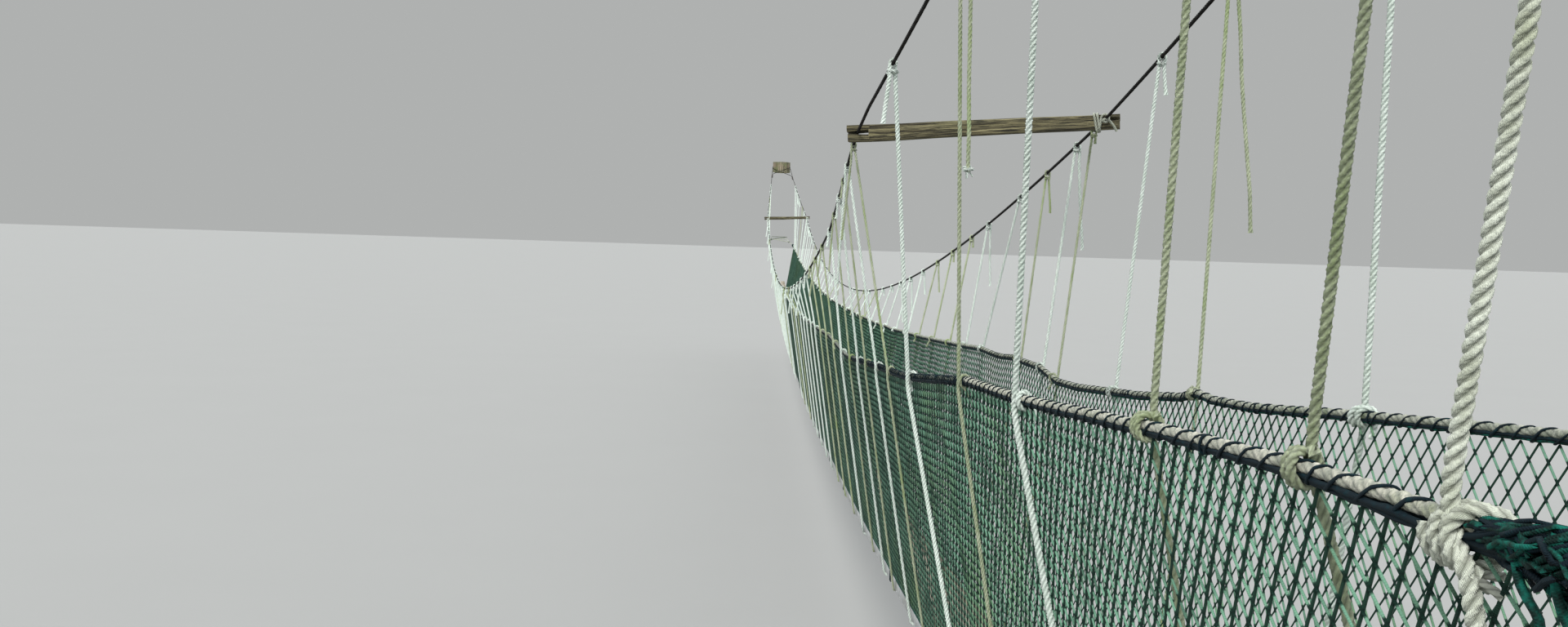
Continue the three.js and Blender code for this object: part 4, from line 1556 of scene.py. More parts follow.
@dataclass
class Handrails(Assembly):
    """Two pale ropes from end to end, each wrapped with the net's dark gathered edge by a thick twine."""

    dense_until: float = 8.2
    near_step: float = 0.006
    far_step: float = 0.15
    lay: float = 0.066
    lacing_until: tuple = (5.3, 8.6)
    lacing_steps: tuple = (20, 12, 7)
    lacing_sides: tuple = (6, 4, 3)
    bite: float = 0.15
    dark_stretch_from: float = 4.98
    dark_stretch_to: float = 8.60
    twine_thick: float = 0.0015
    twine_wide: float = 0.0030
    tail_from: float = 1.250
    tail_to: float = 0.950
    lace_from: float = 2.16
    close_share: float = 0.14
    seizing_turns: int = 13
    seizing_from: float = 1.045
    seizing_long: float = 0.110
    seizing_r: float = 0.0042

    def wraps(self, side: Side) -> Array:
        """Y of each wrap of the lacing: uneven steps of 38 to 70 mm, and a few wraps close together.

        Args:
            side: which side of the bridge.

        Returns:
            Places along the bridge, rising.
        """
        draw = np.random.default_rng(70 + side.value)
        steps = draw.uniform(0.038, 0.070, 900)
        close = draw.random(900) < self.close_share
        steps[close] = draw.uniform(0.0055, 0.0075, close.sum())
        y = np.arange(self.lace_from, self.lines.mirror(self.lace_from), 0.01)
        pace = np.where(self.dark_stretch(y, side), 0.5, 1.0)
        run = np.cumsum(0.01 / pace)
        places = np.cumsum(steps)
        return np.interp(places[places < run[-1]], run, y)

    def build(self) -> None:
        """Makes each handrail, its lacing and the seizings of its eyes."""
        lines = self.lines
        for side in Side:
            wraps = self.wraps(side)
            eye = Eye(lines.post_across / 2 + lines.rope_r, -side.value * lines.rail_step / 2,
                      self.tail_from, self.tail_to)
            route = whole_route(lines, eye, side, lines.rope_r, lines.rail_x, lines.rail_z,
                                lambda y: lines.rail_lift(y, side) + lines.rope_up * eased(
                                    (lines.from_end(y) - self.tail_from) / 0.9))
            surface = Surface()
            self.add_rail(surface, route, wraps, side)
            for end in (0, 1):
                self.add_seizing(surface, side, eye, end)
            name = side.name.lower()
            self.workshop.piece(f"laced_handrail_{name}", surface,
                                [self.finishes.rail if side is Side.LEFT else self.finishes.rail_grey,
                                 self.finishes.lacing, self.finishes.rail_dark], "handrail_rope",
                                [f"handrail_rope_{name}", f"handrail_eye_{name}_near",
                                 f"handrail_eye_{name}_far"])
            twine = Surface()
            self.add_lacing(twine, side, wraps)
            self.workshop.piece(f"rail_lacing_{name}", twine, [self.finishes.lacing], "net_twine", [])

    def dark_stretch(self, y: Array, side: Side) -> Array:
        """True where the rope takes its dark finish and is laced twice as closely."""
        return (y > self.dark_stretch_from) & (y < self.dark_stretch_to) & (side is Side.LEFT)

    def add_rail(self, surface: Surface, route: Array, wraps: Array, side: Side) -> None:
        """Adds the rope: three lobes, pinched where a wrap of lacing crosses and full between wraps.

        Far from the camera it is round, with its lay painted on.

        Args:
            surface: where the shape goes.
            route: the rope's rounded route.
            wraps: Y of each wrap of the lacing.
            side: which side of the bridge.
        """
        lines = self.lines
        run = lengths_along(route)
        split = run[np.argmax(route[:, 1] > self.dense_until)]
        places = np.arange(0, split + self.near_step, self.near_step)
        path = np.stack([np.interp(places, run, route[:, k]) for k in range(3)], axis=1)
        rest = RopeCut(lines.rope_r, 3, 9, self.far_step, self.lay, plain=True)
        add_rope(surface, np.concatenate([path[-2:], route[run > split + 0.05]]), rest, keeper=UP,
                 mark=2 if self.dark_stretch(path[-1, 1], side) else 0)
        fade = np.clip((split - places) / 0.3, 0, 1)
        radius = lines.rope_r * section_lobes(3, 15, 0.10 + 0.09 * fade)
        turn = TURN * places / self.lay
        nearest = np.clip(np.searchsorted(wraps, path[:, 1]), 1, len(wraps) - 1)
        apart = np.minimum(np.abs(path[:, 1] - wraps[nearest - 1]), np.abs(path[:, 1] - wraps[nearest]))
        pinch = self.bite * np.exp(-((apart / 0.009) ** 2))
        swell = (1 + 0.05 * ripple(places, 77, 0.21, 4) * fade) * (1 - pinch)
        grid = rings(path[None], UP, (radius * swell[:, None])[None], turn[None])
        dark_stretch = self.dark_stretch(path[:, 1], side)
        edges = [0, *np.flatnonzero(dark_stretch[1:] != dark_stretch[:-1]), len(path) - 1]
        for first, last in zip(edges[:-1], edges[1:]):
            part = slice(first, last + 1)
            surface.tubes(grid[:, part], (places / self.lay)[None, part], mark=2 if dark_stretch[last] else 0)

    def add_lacing(self, surface: Surface, side: Side, wraps: Array) -> None:
        """Adds the lacing: flat turns square to the rail, which step along to the next underneath.

        A turn is two half circles apart in height. Y stays at the wrap for most of the turn and
        moves on to the next wrap in the part that passes below.

        Args:
            surface: where the twine goes.
            side: which handrail.
            wraps: Y of each wrap.
        """
        lines = self.lines
        splits = [0, *np.searchsorted(wraps, self.lacing_until), len(wraps) - 1]
        half = lines.wrap_tall - lines.wrap_wide
        for first, last, steps, sides in zip(splits[:-1], splits[1:], self.lacing_steps, self.lacing_sides):
            count = np.arange(first, last + 0.5 / steps, 1 / steps)
            turn = np.floor(count + 1e-9)
            share = count - turn
            y = np.interp(turn + eased((share - 0.30) / 0.65), np.arange(len(wraps)), wraps)
            angle = -TURN * (share + 0.375)
            top = np.sin(angle) > 0
            sunk = np.where(top, self.bite / 130, 0.0) + 0.0004 * ripple(count, 9 + side.value, 3.1, 3)
            x = side.value * lines.rail_x(y) - (lines.wrap_wide - sunk) * np.cos(angle)
            z = lines.rail_height(y, side) + half * np.clip(2.5 * np.sin(angle), -1, 1)
            path = np.stack([x, y, z + (lines.wrap_wide - sunk) * np.sin(angle)], axis=1)
            around = TURN * np.arange(sides) / sides
            flat = 1 / np.hypot(np.cos(around) / self.twine_thick, np.sin(around) / self.twine_wide)
            add_tube(surface, path, (1 + 0.22 * ripple(count, 3 + side.value, 2.3, 3))[:, None] * flat)

    def add_seizing(self, surface: Surface, side: Side, eye: Eye, end: int) -> None:
        """Adds the seizing that ties an eye's tail to its rope: a tight oval coil.

        Args:
            surface: where the shape goes.
            side: which side of the bridge.
            eye: the eye's sizes.
            end: nought for the near end, one for the far end.
        """
        lines = self.lines
        share = np.linspace(0, 1, 16 * self.seizing_turns)
        angle = TURN * self.seizing_turns * share
        place = self.seizing_from + self.seizing_long * share
        y = lines.mirror(place) if end else place
        x = side.value * (lines.rail_x(y) - 1.08 * lines.rope_r)
        z = lines.rail_z(y) + eye.lift
        path = np.stack([x + (2.15 * lines.rope_r + 0.003) * np.cos(angle), y,
                         z + (lines.rope_r + 0.003) * np.sin(angle)], axis=1)
        add_tube(surface, path, self.seizing_r, mark=1)


# Nets


@dataclass
class SideNets(Assembly):
    """Knotted nets of leaning meshes from the handrails to the deck's edges."""

    cell_long: float = 0.048
    pale_slip: float = 0.030
    rows: int = 38
    near_until: float = 5.2
    edges_near_until: float = 7.0
    twine_r: float = 0.002375
    thicker: tuple = ((5.0, 1.0), (9.0, 1.15), (14.0, 1.4))
    knot_r: float = 0.0036
    billow: float = 0.010
    bundle_from: float = 2.10
    bundle_to: float = 2.585
    bundle_strands: tuple = (54, 30)
    bundle_points: tuple = (34, 24)
    bundle_loops: int = 5
    loops_from: float = 2.28
    loop_r: float = 0.0040
    foot_r: float = 0.0026

    def surface_at(self, side: Side, y: Array, share: Array) -> Array:
        """A point of the net: share runs from nought under the handrail to one at the deck's edge.

        The net is a ruled surface that billows out a little between its edges, in slow waves.

        Args:
            side: which side of the bridge.
            y: place along the bridge.
            share: how far down, from nought to one.

        Returns:
            Points, with X, Y and Z last.
        """
        lines = self.lines
        top_x = lines.rail_half
        foot_x = lines.deck_half + 0.003
        z_top = lines.rail_height(y, side) - lines.wrap_tall
        z_foot = lines.rail_z(y) - lines.foot
        bulge = self.billow * np.sin(np.pi * share) * (0.3 + 0.7 * ripple(y, 30 + side.value, 1.9))
        fold = 0.004 * np.sin(np.pi * share) * ripple(y + 0.25 * share, 50 + side.value, 0.42)
        x = top_x + (foot_x - top_x) * share + np.minimum(bulge + fold, 0.006)
        return np.stack([side.value * x, y + 0 * share, z_top + (z_foot - z_top) * share], axis=-1)

    def twines(self, side: Side, slip: float, low: float, high: float, steps: int) -> tuple:
        """The twines of one family whose tops lie between two places along the bridge.

        A twine runs down in a straight diagonal, so Y changes by its slip for each row of knots. At
        the net's ends it is cut where it would run past them.

        Args:
            side: which net.
            slip: change of Y for each row down.
            low: least Y of a top, on the unrolled net.
            high: greatest Y of a top.
            steps: points on each twine.

        Returns:
            Paths shaped (twines, steps, 3) and the bar count at each point.
        """
        lines = self.lines
        travel = slip * self.rows
        tops = np.arange(np.ceil(low / self.cell_long), np.floor(high / self.cell_long) + 1) * self.cell_long
        ends = np.stack([lines.net_end - tops, lines.mirror(lines.net_end) - tops]) / travel
        first = np.clip(ends.min(axis=0), 0, 1)
        last = np.clip(ends.max(axis=0), 0, 1)
        kept = last - first > 0.02
        tops, first, last = tops[kept], first[kept], last[kept]
        share = first[:, None] + (last - first)[:, None] * np.linspace(0, 1, steps)
        return self.surface_at(side, tops[:, None] + travel * share, share), share * self.rows

    def add_knots(self, surface: Surface, side: Side) -> None:
        """Adds an eight-faced bead at each knot near the camera.

        A knot is at a whole count of cells along and of rows down, and each row slips along.

        Args:
            surface: where the shape goes.
            side: which side of the bridge.
        """
        row = np.arange(1, self.rows)[:, None]
        cells = np.arange((self.near_until + self.rows * self.pale_slip) / self.cell_long)[None]
        y = cells * self.cell_long - row * self.pale_slip
        inside = (y > self.lines.net_end) & (y < self.near_until)
        centre = self.surface_at(side, y, row / self.rows + 0 * y)[inside]
        axes = np.array([[0.8, 0, 0], [0, 1.1, 0], [-0.8, 0, 0], [0, -1.1, 0], [0, 0, 1.2], [0, 0, -1.2]])
        points = centre[:, None] + self.knot_r * axes
        around = np.array([[0, 1, 4], [1, 2, 4], [2, 3, 4], [3, 0, 4],
                           [1, 0, 5], [2, 1, 5], [3, 2, 5], [0, 3, 5]])
        faces = (np.arange(len(centre))[:, None, None] * 6 + around).reshape(-1, 3)
        surface.keep(points, faces, np.zeros((len(faces), 3, 2)), 0)

    def build(self) -> None:
        """Makes each net from two families of twines, finer near the camera, with its edges."""
        lines = self.lines
        far_end = lines.mirror(lines.net_end)
        for side in Side:
            surface = Surface()
            for slip, family in ((-self.pale_slip, 0.0), (self.cell_long - self.pale_slip, 1.0)):
                travel = slip * self.rows
                begin, finish = lines.net_end - max(travel, 0), far_end - min(travel, 0)
                middle = self.near_until - min(travel, 0) * 0.8
                for low, high, fine in ((begin, middle, True), (middle + 1e-6, finish, False)):
                    paths, bars = self.twines(side, slip, low, high, self.rows // 2 + 1 if fine else 10)
                    keeper = np.array([side.value, 0, 0.15]) + 0 * paths
                    size = self.twine_r * between(self.thicker, paths[..., 1])
                    size = np.repeat(size[..., None], 4 if fine else 3, axis=-1)
                    surface.tubes(rings(paths, keeper, size), bars, family=family)
            self.add_knots(surface, side)
            name = side.name.lower()
            self.workshop.piece(f"knotted_net_{name}", surface, [self.finishes.net], "net_twine",
                                [f"side_net_{name}"])
            edge = Surface()
            self.add_edges(edge, side)
            self.add_bundle(edge, side)
            self.workshop.piece(f"net_edges_{name}", edge, [self.finishes.selvage, self.finishes.lacing],
                                "net_twine", [])

    def add_edges(self, surface: Surface, side: Side) -> None:
        """Adds the edge cords: four gathered under the handrail's rope, two tight along the deck.

        Args:
            surface: where the shape goes.
            side: which side of the bridge.
        """
        lines = self.lines
        # the gathered cords are the net's real edge, and their near-black twine also stands for the painted
        # shade under the handrail's rope
        gathered = ((0.0046, -0.0052, 0.0034), (-0.0046, -0.0056, 0.0034), (0.0022, -0.0088, 0.0032),
                    (-0.0024, -0.0092, 0.0032))
        for strand, (out, up, size) in enumerate(gathered):
            for low, high, step, sides in ((lines.net_end - 0.3, self.edges_near_until, 0.011, 5),
                                           (self.edges_near_until, lines.mirror(lines.net_end), 0.14, 4)):
                y = np.arange(low, high + step / 2, step)
                fuller = 1 + 0.6 * eased((3.0 - y) / 0.35) + 0.40 * eased((y - 4.8) / 0.8)
                swing = out * fuller + 0.0010 * ripple(y, 80 + strand, 0.13, 5)
                rise = up * fuller + 0.0009 * ripple(y, 90 + strand, 0.11, 5)
                path = np.stack([side.value * (lines.rail_x(y) + swing), y,
                                 lines.rail_height(y, side) + rise], axis=1)
                swell = size * (1 + 0.18 * ripple(y, 70 + strand + side.value, 0.09, 4)) * np.sqrt(fuller)
                add_tube(surface, path, swell, sides, UP, mark=0 if strand == 3 else 1)
        for strand in range(2):
            y = np.arange(lines.net_end, lines.mirror(lines.net_end), 0.10)
            base = self.surface_at(side, y, np.ones(len(y)))
            path = base + np.stack([0 * y + side.value * 0.001, 0 * y,
                                    0.004 - 0.006 * strand + 0.002 * ripple(y, 60 + strand, 0.4)], axis=1)
            add_tube(surface, path, self.foot_r, 4, UP)

    def add_bundle(self, surface: Surface, side: Side) -> None:
        """Adds the net's bunched ends: many loose strands of twine, laid and knotted round the handrail.

        Args:
            surface: where the shape goes.
            side: which side of the bridge.
        """
        lines = self.lines
        for end in (0, 1):
            draw = np.random.default_rng(7 + side.value + 10 * end)
            for strand in range(self.bundle_strands[end]):
                share = np.linspace(0, 1, self.bundle_points[end])
                first = self.bundle_from + draw.uniform(0, 0.08)
                place = first + (self.bundle_to - first + draw.uniform(-0.06, 0.03)) * share
                angle = TURN * (draw.random() + draw.uniform(0.3, 1.7) * share
                                + 0.12 * ripple(share, 300 + strand, 0.5))
                body = np.sin(np.pi * np.clip(share * 1.10, 0, 1)) ** 0.5
                reach = lines.wrap_wide + 0.002 + body * (0.003 + 0.018 * draw.random()
                                                          + 0.004 * ripple(share, 200 + strand, 0.3))
                y = lines.mirror(place) if end else place
                x = side.value * lines.rail_x(y) + reach * np.cos(angle)
                z = lines.rail_height(y, side) + 1.1 * reach * np.sin(angle) - 0.010 * body
                add_tube(surface, np.stack([x, y, z], axis=1), draw.uniform(0.0020, 0.0036), 4,
                         mark=int(strand % 2 == 0))
            for loop in range(self.bundle_loops):
                share = np.linspace(0, 1, 30)
                hang = 0.045 + 0.030 * draw.random()
                place = (self.loops_from + 0.05 * loop + 0.07 * (share - 0.5)
                         + 0.010 * ripple(share, 400 + loop, 0.7))
                y = lines.mirror(place) if end else place
                out = 0.012 + 0.010 * draw.random() - 0.008 * np.sin(np.pi * share)
                path = np.stack([side.value * (lines.rail_x(y) + out), y,
                                 lines.rail_height(y, side) - 0.012
                                 - hang * np.sin(np.pi * share) ** 0.7], axis=1)
                add_tube(surface, paced(path, 0.006), self.loop_r, 7, keeper=np.array([1.0, 0, 0]))


# Spreader beams


@dataclass(frozen=True)
class Placing:
    """A beam's own frame: along it, across it and up, from where the left cable crosses it."""

    left: Array
    right: Array
    cable_run: Array

    def axes(self) -> Array:
        """Unit vectors along, across and up, as rows."""
        along = unit(self.right - self.left)
        across = unit(np.cross(UP, along))
        return np.stack([along, across, np.cross(along, across)])

    def length(self) -> float:
        """Distance between the cables' crossings."""
        return float(np.linalg.norm(self.right - self.left))

    def lean(self) -> float:
        """Rise of the cable in this frame for each unit across the beam."""
        run = self.axes() @ self.cable_run
        return float(run[2] / run[1])

    def world(self, local: Array) -> Array:
        """Points of this frame in the bridge's frame."""
        return self.left + local @ self.axes()


@dataclass
class SpreaderBeams(Assembly):
    """Rough timber beams, a little askew, that hold the cables apart in a saw kerf at each end."""

    past_left: float = 0.078
    past_right: float = 0.068
    over_left: float = 0.036
    over_right: float = 0.023
    under_left: float = 0.034
    under_right: float = 0.034
    left_on: float = 0.025
    right_on: float = 0.075
    deep: float = 0.058
    kerf: float = 0.0092
    kerf_tip: float = 0.0036
    lash_r: float = 0.0054
    squareness: float = 7.0
    round_steps: int = 44

    def placing(self, far: bool) -> Placing:
        """Where a beam lies: the left cable crosses it further from the beam's end of the bridge.

        Args:
            far: true for the far beam.

        Returns:
            The beam's frame.
        """
        lines = self.lines
        ys = lines.beam_at + np.array([lines.beam_skew + self.left_on, self.right_on])
        ys = lines.mirror(ys) if far else ys
        left, right = (np.array([side.value * lines.cable_half, y, lines.cable_z(y)])
                       for side, y in zip(Side, ys))
        slope = float(lines.cable_z(ys[1] + 0.01) - lines.cable_z(ys[1] - 0.01)) / 0.02
        return Placing(left, right, np.array([0.0, 1.0, slope]))

    def bar(self, surface: Surface, placing: Placing, ends: tuple, under: Face, over: Face,
            seed: int) -> None:
        """Adds a rough bar along the beam: a rounded rectangle whose faces wander along the grain.

        Args:
            surface: where the bar goes.
            placing: the beam's frame.
            ends: where the bar begins and ends along the beam.
            under: its lower face's height, as a function of the places along and across.
            over: its upper face's height, likewise.
            seed: picks the roughness, shared by the bars of one beam.
        """
        along = np.linspace(*ends, max(5, int((ends[1] - ends[0]) / 0.011)))[:, None]
        around = np.linspace(0, 1, self.round_steps, endpoint=False)[None]
        angle = TURN * around
        power = self.squareness
        square = (np.abs(np.cos(angle)) ** power + np.abs(np.sin(angle)) ** power) ** (-1 / power)
        across = self.deep / 2 * square * np.cos(angle)
        share = square * np.sin(angle)
        low, high = under(along, across), over(along, across)
        grooves = sum(ripple(along * 0.35 + 3.0 * k, seed + 7 * k, 0.9)
                      * np.sin(TURN * (k + 3) * around + k) for k in range(8)) * 0.0008
        wander = 0.0022 * ripple(along, seed + 5, 1.4)
        local = np.empty((1, len(along), self.round_steps, 3))
        local[0, ..., 0] = along
        local[0, ..., 1] = across * (1 - 0.03 * (1 + ripple(along, seed + 99, 0.8))) + grooves * np.cos(angle)
        local[0, ..., 2] = (low + high) / 2 + (high - low) / 2 * share + grooves * np.sin(angle) + wander
        surface.tubes(placing.world(local), along.T)

    def build(self) -> None:
        """Makes each beam from a body and the two tines past each kerf, and lashes it."""
        for name in ("near", "far"):
            placing = self.placing(name == "far")
            length, lean = placing.length(), placing.lean()
            surface = Surface()
            seed = 300 if name == "near" else 340
            tips = np.array([-self.past_left, 0.0, length, length + self.past_right])
            tops = np.array([self.over_left, self.over_left, self.over_right, self.over_right])
            feet = -np.array([self.under_left, self.under_left, self.under_right, self.under_right])
            gaps = np.array([self.kerf_tip, self.kerf, self.kerf, self.kerf_tip])

            def over(along: Array, _across: Array) -> Array:
                """The top face."""
                return np.interp(along, tips, tops)

            def under(along: Array, _across: Array) -> Array:
                """The underside."""
                return np.interp(along, tips, feet)

            def roof(along: Array, across: Array) -> Array:
                """The kerf's upper face, which leans as the cable does."""
                return lean * across + np.interp(along, tips, gaps)

            def floor(along: Array, across: Array) -> Array:
                """The kerf's lower face."""
                return lean * across - np.interp(along, tips, gaps)

            begin, finish = 0.016, length - 0.022
            self.bar(surface, placing, (begin, finish), under, over, seed)
            for ends in ((tips[0], begin + 0.004), (finish - 0.004, tips[3])):
                self.bar(surface, placing, ends, roof, over, seed)
                self.bar(surface, placing, (ends[0] + 0.004, ends[1] - 0.001), under, floor, seed)
            self.workshop.piece(f"rough_beam_{name}", surface, [self.finishes.beam], "weathered_timber",
                                [f"spreader_beam_{name}"])
            ties = Surface()
            for side in (Side.RIGHT,) if name == "near" else Side:
                self.lash(ties, placing, side)
            self.workshop.piece(f"beam_lashing_{name}", ties, [self.finishes.grey], "weathered_rope", [])

    def lash(self, surface: Surface, placing: Placing, side: Side) -> None:
        """Adds the lashing at one end: turns round the beam, hitches round the cable and a loose tail.

        Places are out from the crossing, across and up, in the beam's frame.

        Args:
            surface: where the shape goes.
            placing: the beam's frame.
            side: which side of the bridge.
        """
        cut = RopeCut(self.lash_r, 3, 9, 0.0035, 0.032, 0.28)
        origin = placing.length() if side is Side.RIGHT else 0.0
        face, r = self.deep / 2 + 0.005, self.lash_r
        low, high = -self.under_right - r, self.over_right + r
        lean = placing.lean()
        drift = 0.0 if side is Side.LEFT else 0.013
        hole = np.array([drift, -face - 0.004, -lean * face])

        def place(points: list) -> Array:
            """A rounded route in the bridge's frame."""
            local = np.array(points) * np.array([side.value, 1, 1]) + np.array([origin, 0, 0])
            return placing.world(filleted(local, 0.011))

        band = []
        for k in range(7):
            corner = ((-face, low), (-face, high), (face, high), (face, low))[k % 4]
            lag = -0.010 if corner[1] == high else 0.004
            band.append([-0.026 + 0.0030 * k + lag, corner[0], corner[1]])
        band.append([-0.006, -face, -0.010])
        add_rope(surface, place(band), cut, keeper=np.array([1.0, 0.2, 0]))
        bow = [[-0.016, face * 0.2, low - 0.002], [-0.014, -face - 0.002, low + 0.004],
               hole + [-0.019, -0.002, -0.016], hole + [-0.018, -0.004, 0.008],
               hole + [-0.004, -0.007, 0.018],
               hole + [0.011, -0.006, 0.010], hole + [0.012, -0.004, -0.008], hole + [0.000, -0.010, -0.017],
               hole + [-0.014, -0.012, -0.008], hole + [0.002, -0.014, 0.000], hole + [0.016, -0.012, -0.012],
               hole + [0.030, -0.008, -0.030], hole + [0.042, -0.006, -0.054]]
        add_rope(surface, place([list(point) for point in bow]), cut, keeper=ALONG)


# Deck


@dataclass
class Deck(Assembly):
    """Aluminium ladders end to end, boards on them in pairs, nails and rope ties."""

    sections: int = 6
    stagger: float = 0.900
    joint_gap: float = 0.006
    rung_pitch: float = 0.300
    rung_r: float = 0.014
    stringer_thick: float = 0.025
    board_gap: float = 0.006
    board_end_gap: float = 0.002
    board_edge: float = 0.004
    tie_pitch: float = 1.500
    tie_r: float = 0.003
    nails_at: tuple = (-0.125, -0.035, 0.035, 0.125)
    channel_wall: float = 0.004

    def ladder_joints(self) -> Array:
        """Y of the ladders' joints and of the deck's ends."""
        return np.linspace(self.lines.deck_end, self.lines.mirror(self.lines.deck_end), self.sections + 1)

    def plank_joints(self) -> Array:
        """Y of the plank runs' joints, which lie past the ladders' joints."""
        joints = self.ladder_joints()
        joints[1:-1] += self.stagger
        return joints

    def trimmed(self, joints: Array, index: int) -> tuple[float, float]:
        """One section's ends, with half of the joint's gap taken off inside the deck.

        Args:
            joints: Y of all joints and ends.
            index: the section, counted from nought.

        Returns:
            Y of its near and far end.
        """
        low = joints[index] + (self.joint_gap / 2 if index else 0)
        high = joints[index + 1] - (self.joint_gap / 2 if index + 1 < self.sections else 0)
        return low, high

    def carried(self, surface: Surface, profile: Array, y: Array, height: Array,
                wander: Array | float = 0.0) -> None:
        """Adds a profile of X and Z carried along the deck's curve.

        Args:
            surface: where it goes.
            profile: corners, clockwise seen along +Y.
            y: the stations.
            height: the curve's height at each of them.
            wander: small offsets shaped (stations, corners, 2), or nought.
        """
        grid = np.empty((1, len(y), len(profile), 3))
        placed = profile[None] + wander
        grid[0, ..., 0] = placed[..., 0]
        grid[0, ..., 1] = y[:, None]
        grid[0, ..., 2] = height[:, None] + placed[..., 1]
        surface.tubes(grid, y[None])

    def stringer(self, side: Side) -> Array:
        """Section of a ladder's side rail: a channel with its open side inwards.

        Args:
            side: which side of the bridge.

        Returns:
            Corners in X and Z, clockwise seen along +Y.
        """
        deep = self.lines.stringer_deep
        outer = self.lines.deck_half
        inner = outer - self.stringer_thick
        wall = self.channel_wall
        shape = np.array([[inner, 0], [outer, 0], [outer, -deep], [inner, -deep], [inner, wall - deep],
                          [outer - wall, wall - deep], [outer - wall, -wall], [inner, -wall]])
        shape = shape * np.array([side.value, 1])
        return shape if side is Side.RIGHT else shape[::-1]

    def ladder_top(self, y: Array | float) -> Array | float:
        """Height of the ladders' top, a hair under the boards."""
        return self.lines.deck_z(y) - self.lines.plank_thick - 0.0003

    def build_ladders(self) -> None:
        """Makes each ladder: two channels, and round rungs with collars and riveted heads."""
        joints = self.ladder_joints()
        for index in range(self.sections):
            low, high = self.trimmed(joints, index)
            surface = Surface()
            y = np.linspace(low, high, 40)
            for side in Side:
                self.carried(surface, self.stringer(side), y, self.ladder_top(y))
            count = round((high - low) / self.rung_pitch)
            for k in range(count):
                self.add_rung(surface, low + (k + 0.5) / count * (high - low))
            self.workshop.piece(f"ladder_{index + 1}", surface, [self.finishes.aluminium], "aluminium",
                                [f"deck_ladder_{index + 1}"])

    def add_rung(self, surface: Surface, y: float) -> None:
        """Adds one rung: ridged, with a collar near each end and a head outside each channel.

        Args:
            surface: where the shape goes.
            y: place along the bridge.
        """
        reach = self.lines.deck_half - self.channel_wall
        middle = np.array([0, y, self.ladder_top(y) - self.lines.stringer_deep / 2])
        share = np.array([-1, -0.93, -0.91, 0, 0.91, 0.93, 1])
        ridge = self.rung_r * (1 - 0.07 * (np.arange(12) % 2))
        collar = np.where(np.abs(share) > 0.92, 1.22, 1.0)
        add_tube(surface, middle + np.outer(share * reach, (1, 0, 0)), ridge * collar[:, None], keeper=UP)
        for side in Side:
            out = side.value * np.array([reach, reach + 0.0038, reach + 0.0052])
            add_tube(surface, middle + np.outer(out, (1, 0, 0)), (0.011, 0.010, 0.004), 10, UP)

    def build_boards(self) -> None:
        """Makes each run of boards: two side by side, edges worn and faces a little cupped."""
        lines = self.lines
        joints = self.plank_joints()
        for index in range(self.sections):
            low, high = self.trimmed(joints, index)
            surface = Surface()
            draw = np.random.default_rng(500 + index)
            for column in range(2):
                seam = 0.012 * draw.uniform(-1, 1)
                left = -lines.deck_half if column == 0 else seam + self.board_gap / 2
                right = seam - self.board_gap / 2 if column == 0 else lines.deck_half
                cuts = [low, low + (high - low) * draw.uniform(0.3, 0.7), high]
                for start, end in zip(cuts[:-1], cuts[1:]):
                    self.add_board(surface, left, right, start + self.board_end_gap,
                                   end - self.board_end_gap, draw)
            self.add_nails(surface, low, high, draw)
            self.workshop.piece(f"boards_{index + 1}", surface, [self.finishes.boards, self.finishes.zinc],
                                "deck_timber", [f"deck_planks_{index + 1}"])

    def add_board(self, surface: Surface, left: float, right: float, low: float, high: float,
                  draw: np.random.Generator) -> None:
        """Adds one board: a rounded plank section that wanders a little and cups across its face.

        Args:
            surface: where the shape goes.
            left: X of its left edge.
            right: X of its right edge.
            low: Y of its near end.
            high: Y of its far end.
            draw: the piece's random draws.
        """
        lines = self.lines
        thick = lines.plank_thick
        soft = self.board_edge
        x = np.linspace(left + soft, right - soft, 7)
        cup = -0.0015 * (1 - (2 * (x - left) / (right - left) - 1) ** 2)
        top = np.stack([x, cup], axis=1)
        edge = np.array([[right, -soft], [right, soft - thick], [right - soft, -thick]])
        under = np.array([[left + soft, -thick], [left, soft - thick], [left, -soft]])
        profile = np.concatenate([top, edge, under])
        y = np.linspace(low, high, max(12, int((high - low) / 0.09)))
        seed = int(draw.integers(1000))
        wander = np.zeros((len(y), len(profile), 2))
        wander[:, :7, 1] = 0.0009 * ripple(y[:, None] + 3 * np.arange(7), seed, 0.35) - 0.0009
        wander[:, :, 0] = 0.0012 * ripple(y, seed + 1, 0.8)[:, None] * np.sign(-profile[:, 0])[None]
        self.carried(surface, profile, y, lines.deck_z(y), np.clip(wander, -0.003, 0.003))

    def add_nails(self, surface: Surface, low: float, high: float, draw: np.random.Generator) -> None:
        """Adds domed screw heads in rows across the boards.

        Args:
            surface: where the shape goes.
            low: Y of its near end.
            high: Y of its far end.
            draw: the piece's random draws.
        """
        lines = self.lines
        rows = int((high - low) / (2 * self.rung_pitch))
        for k in range(rows):
            place = low + (k + 0.5) / rows * (high - low)
            for x in self.nails_at:
                spot = np.array([x + draw.uniform(-0.006, 0.006), place + draw.uniform(-0.008, 0.008), 0])
                spot[2] = float(lines.deck_z(spot[1])) - 0.002
                stem = spot + np.outer((-0.002, 0.0014, 0.0024), UP)
                add_tube(surface, stem, (0.0055, 0.0052, 0.002), 8, mark=1)

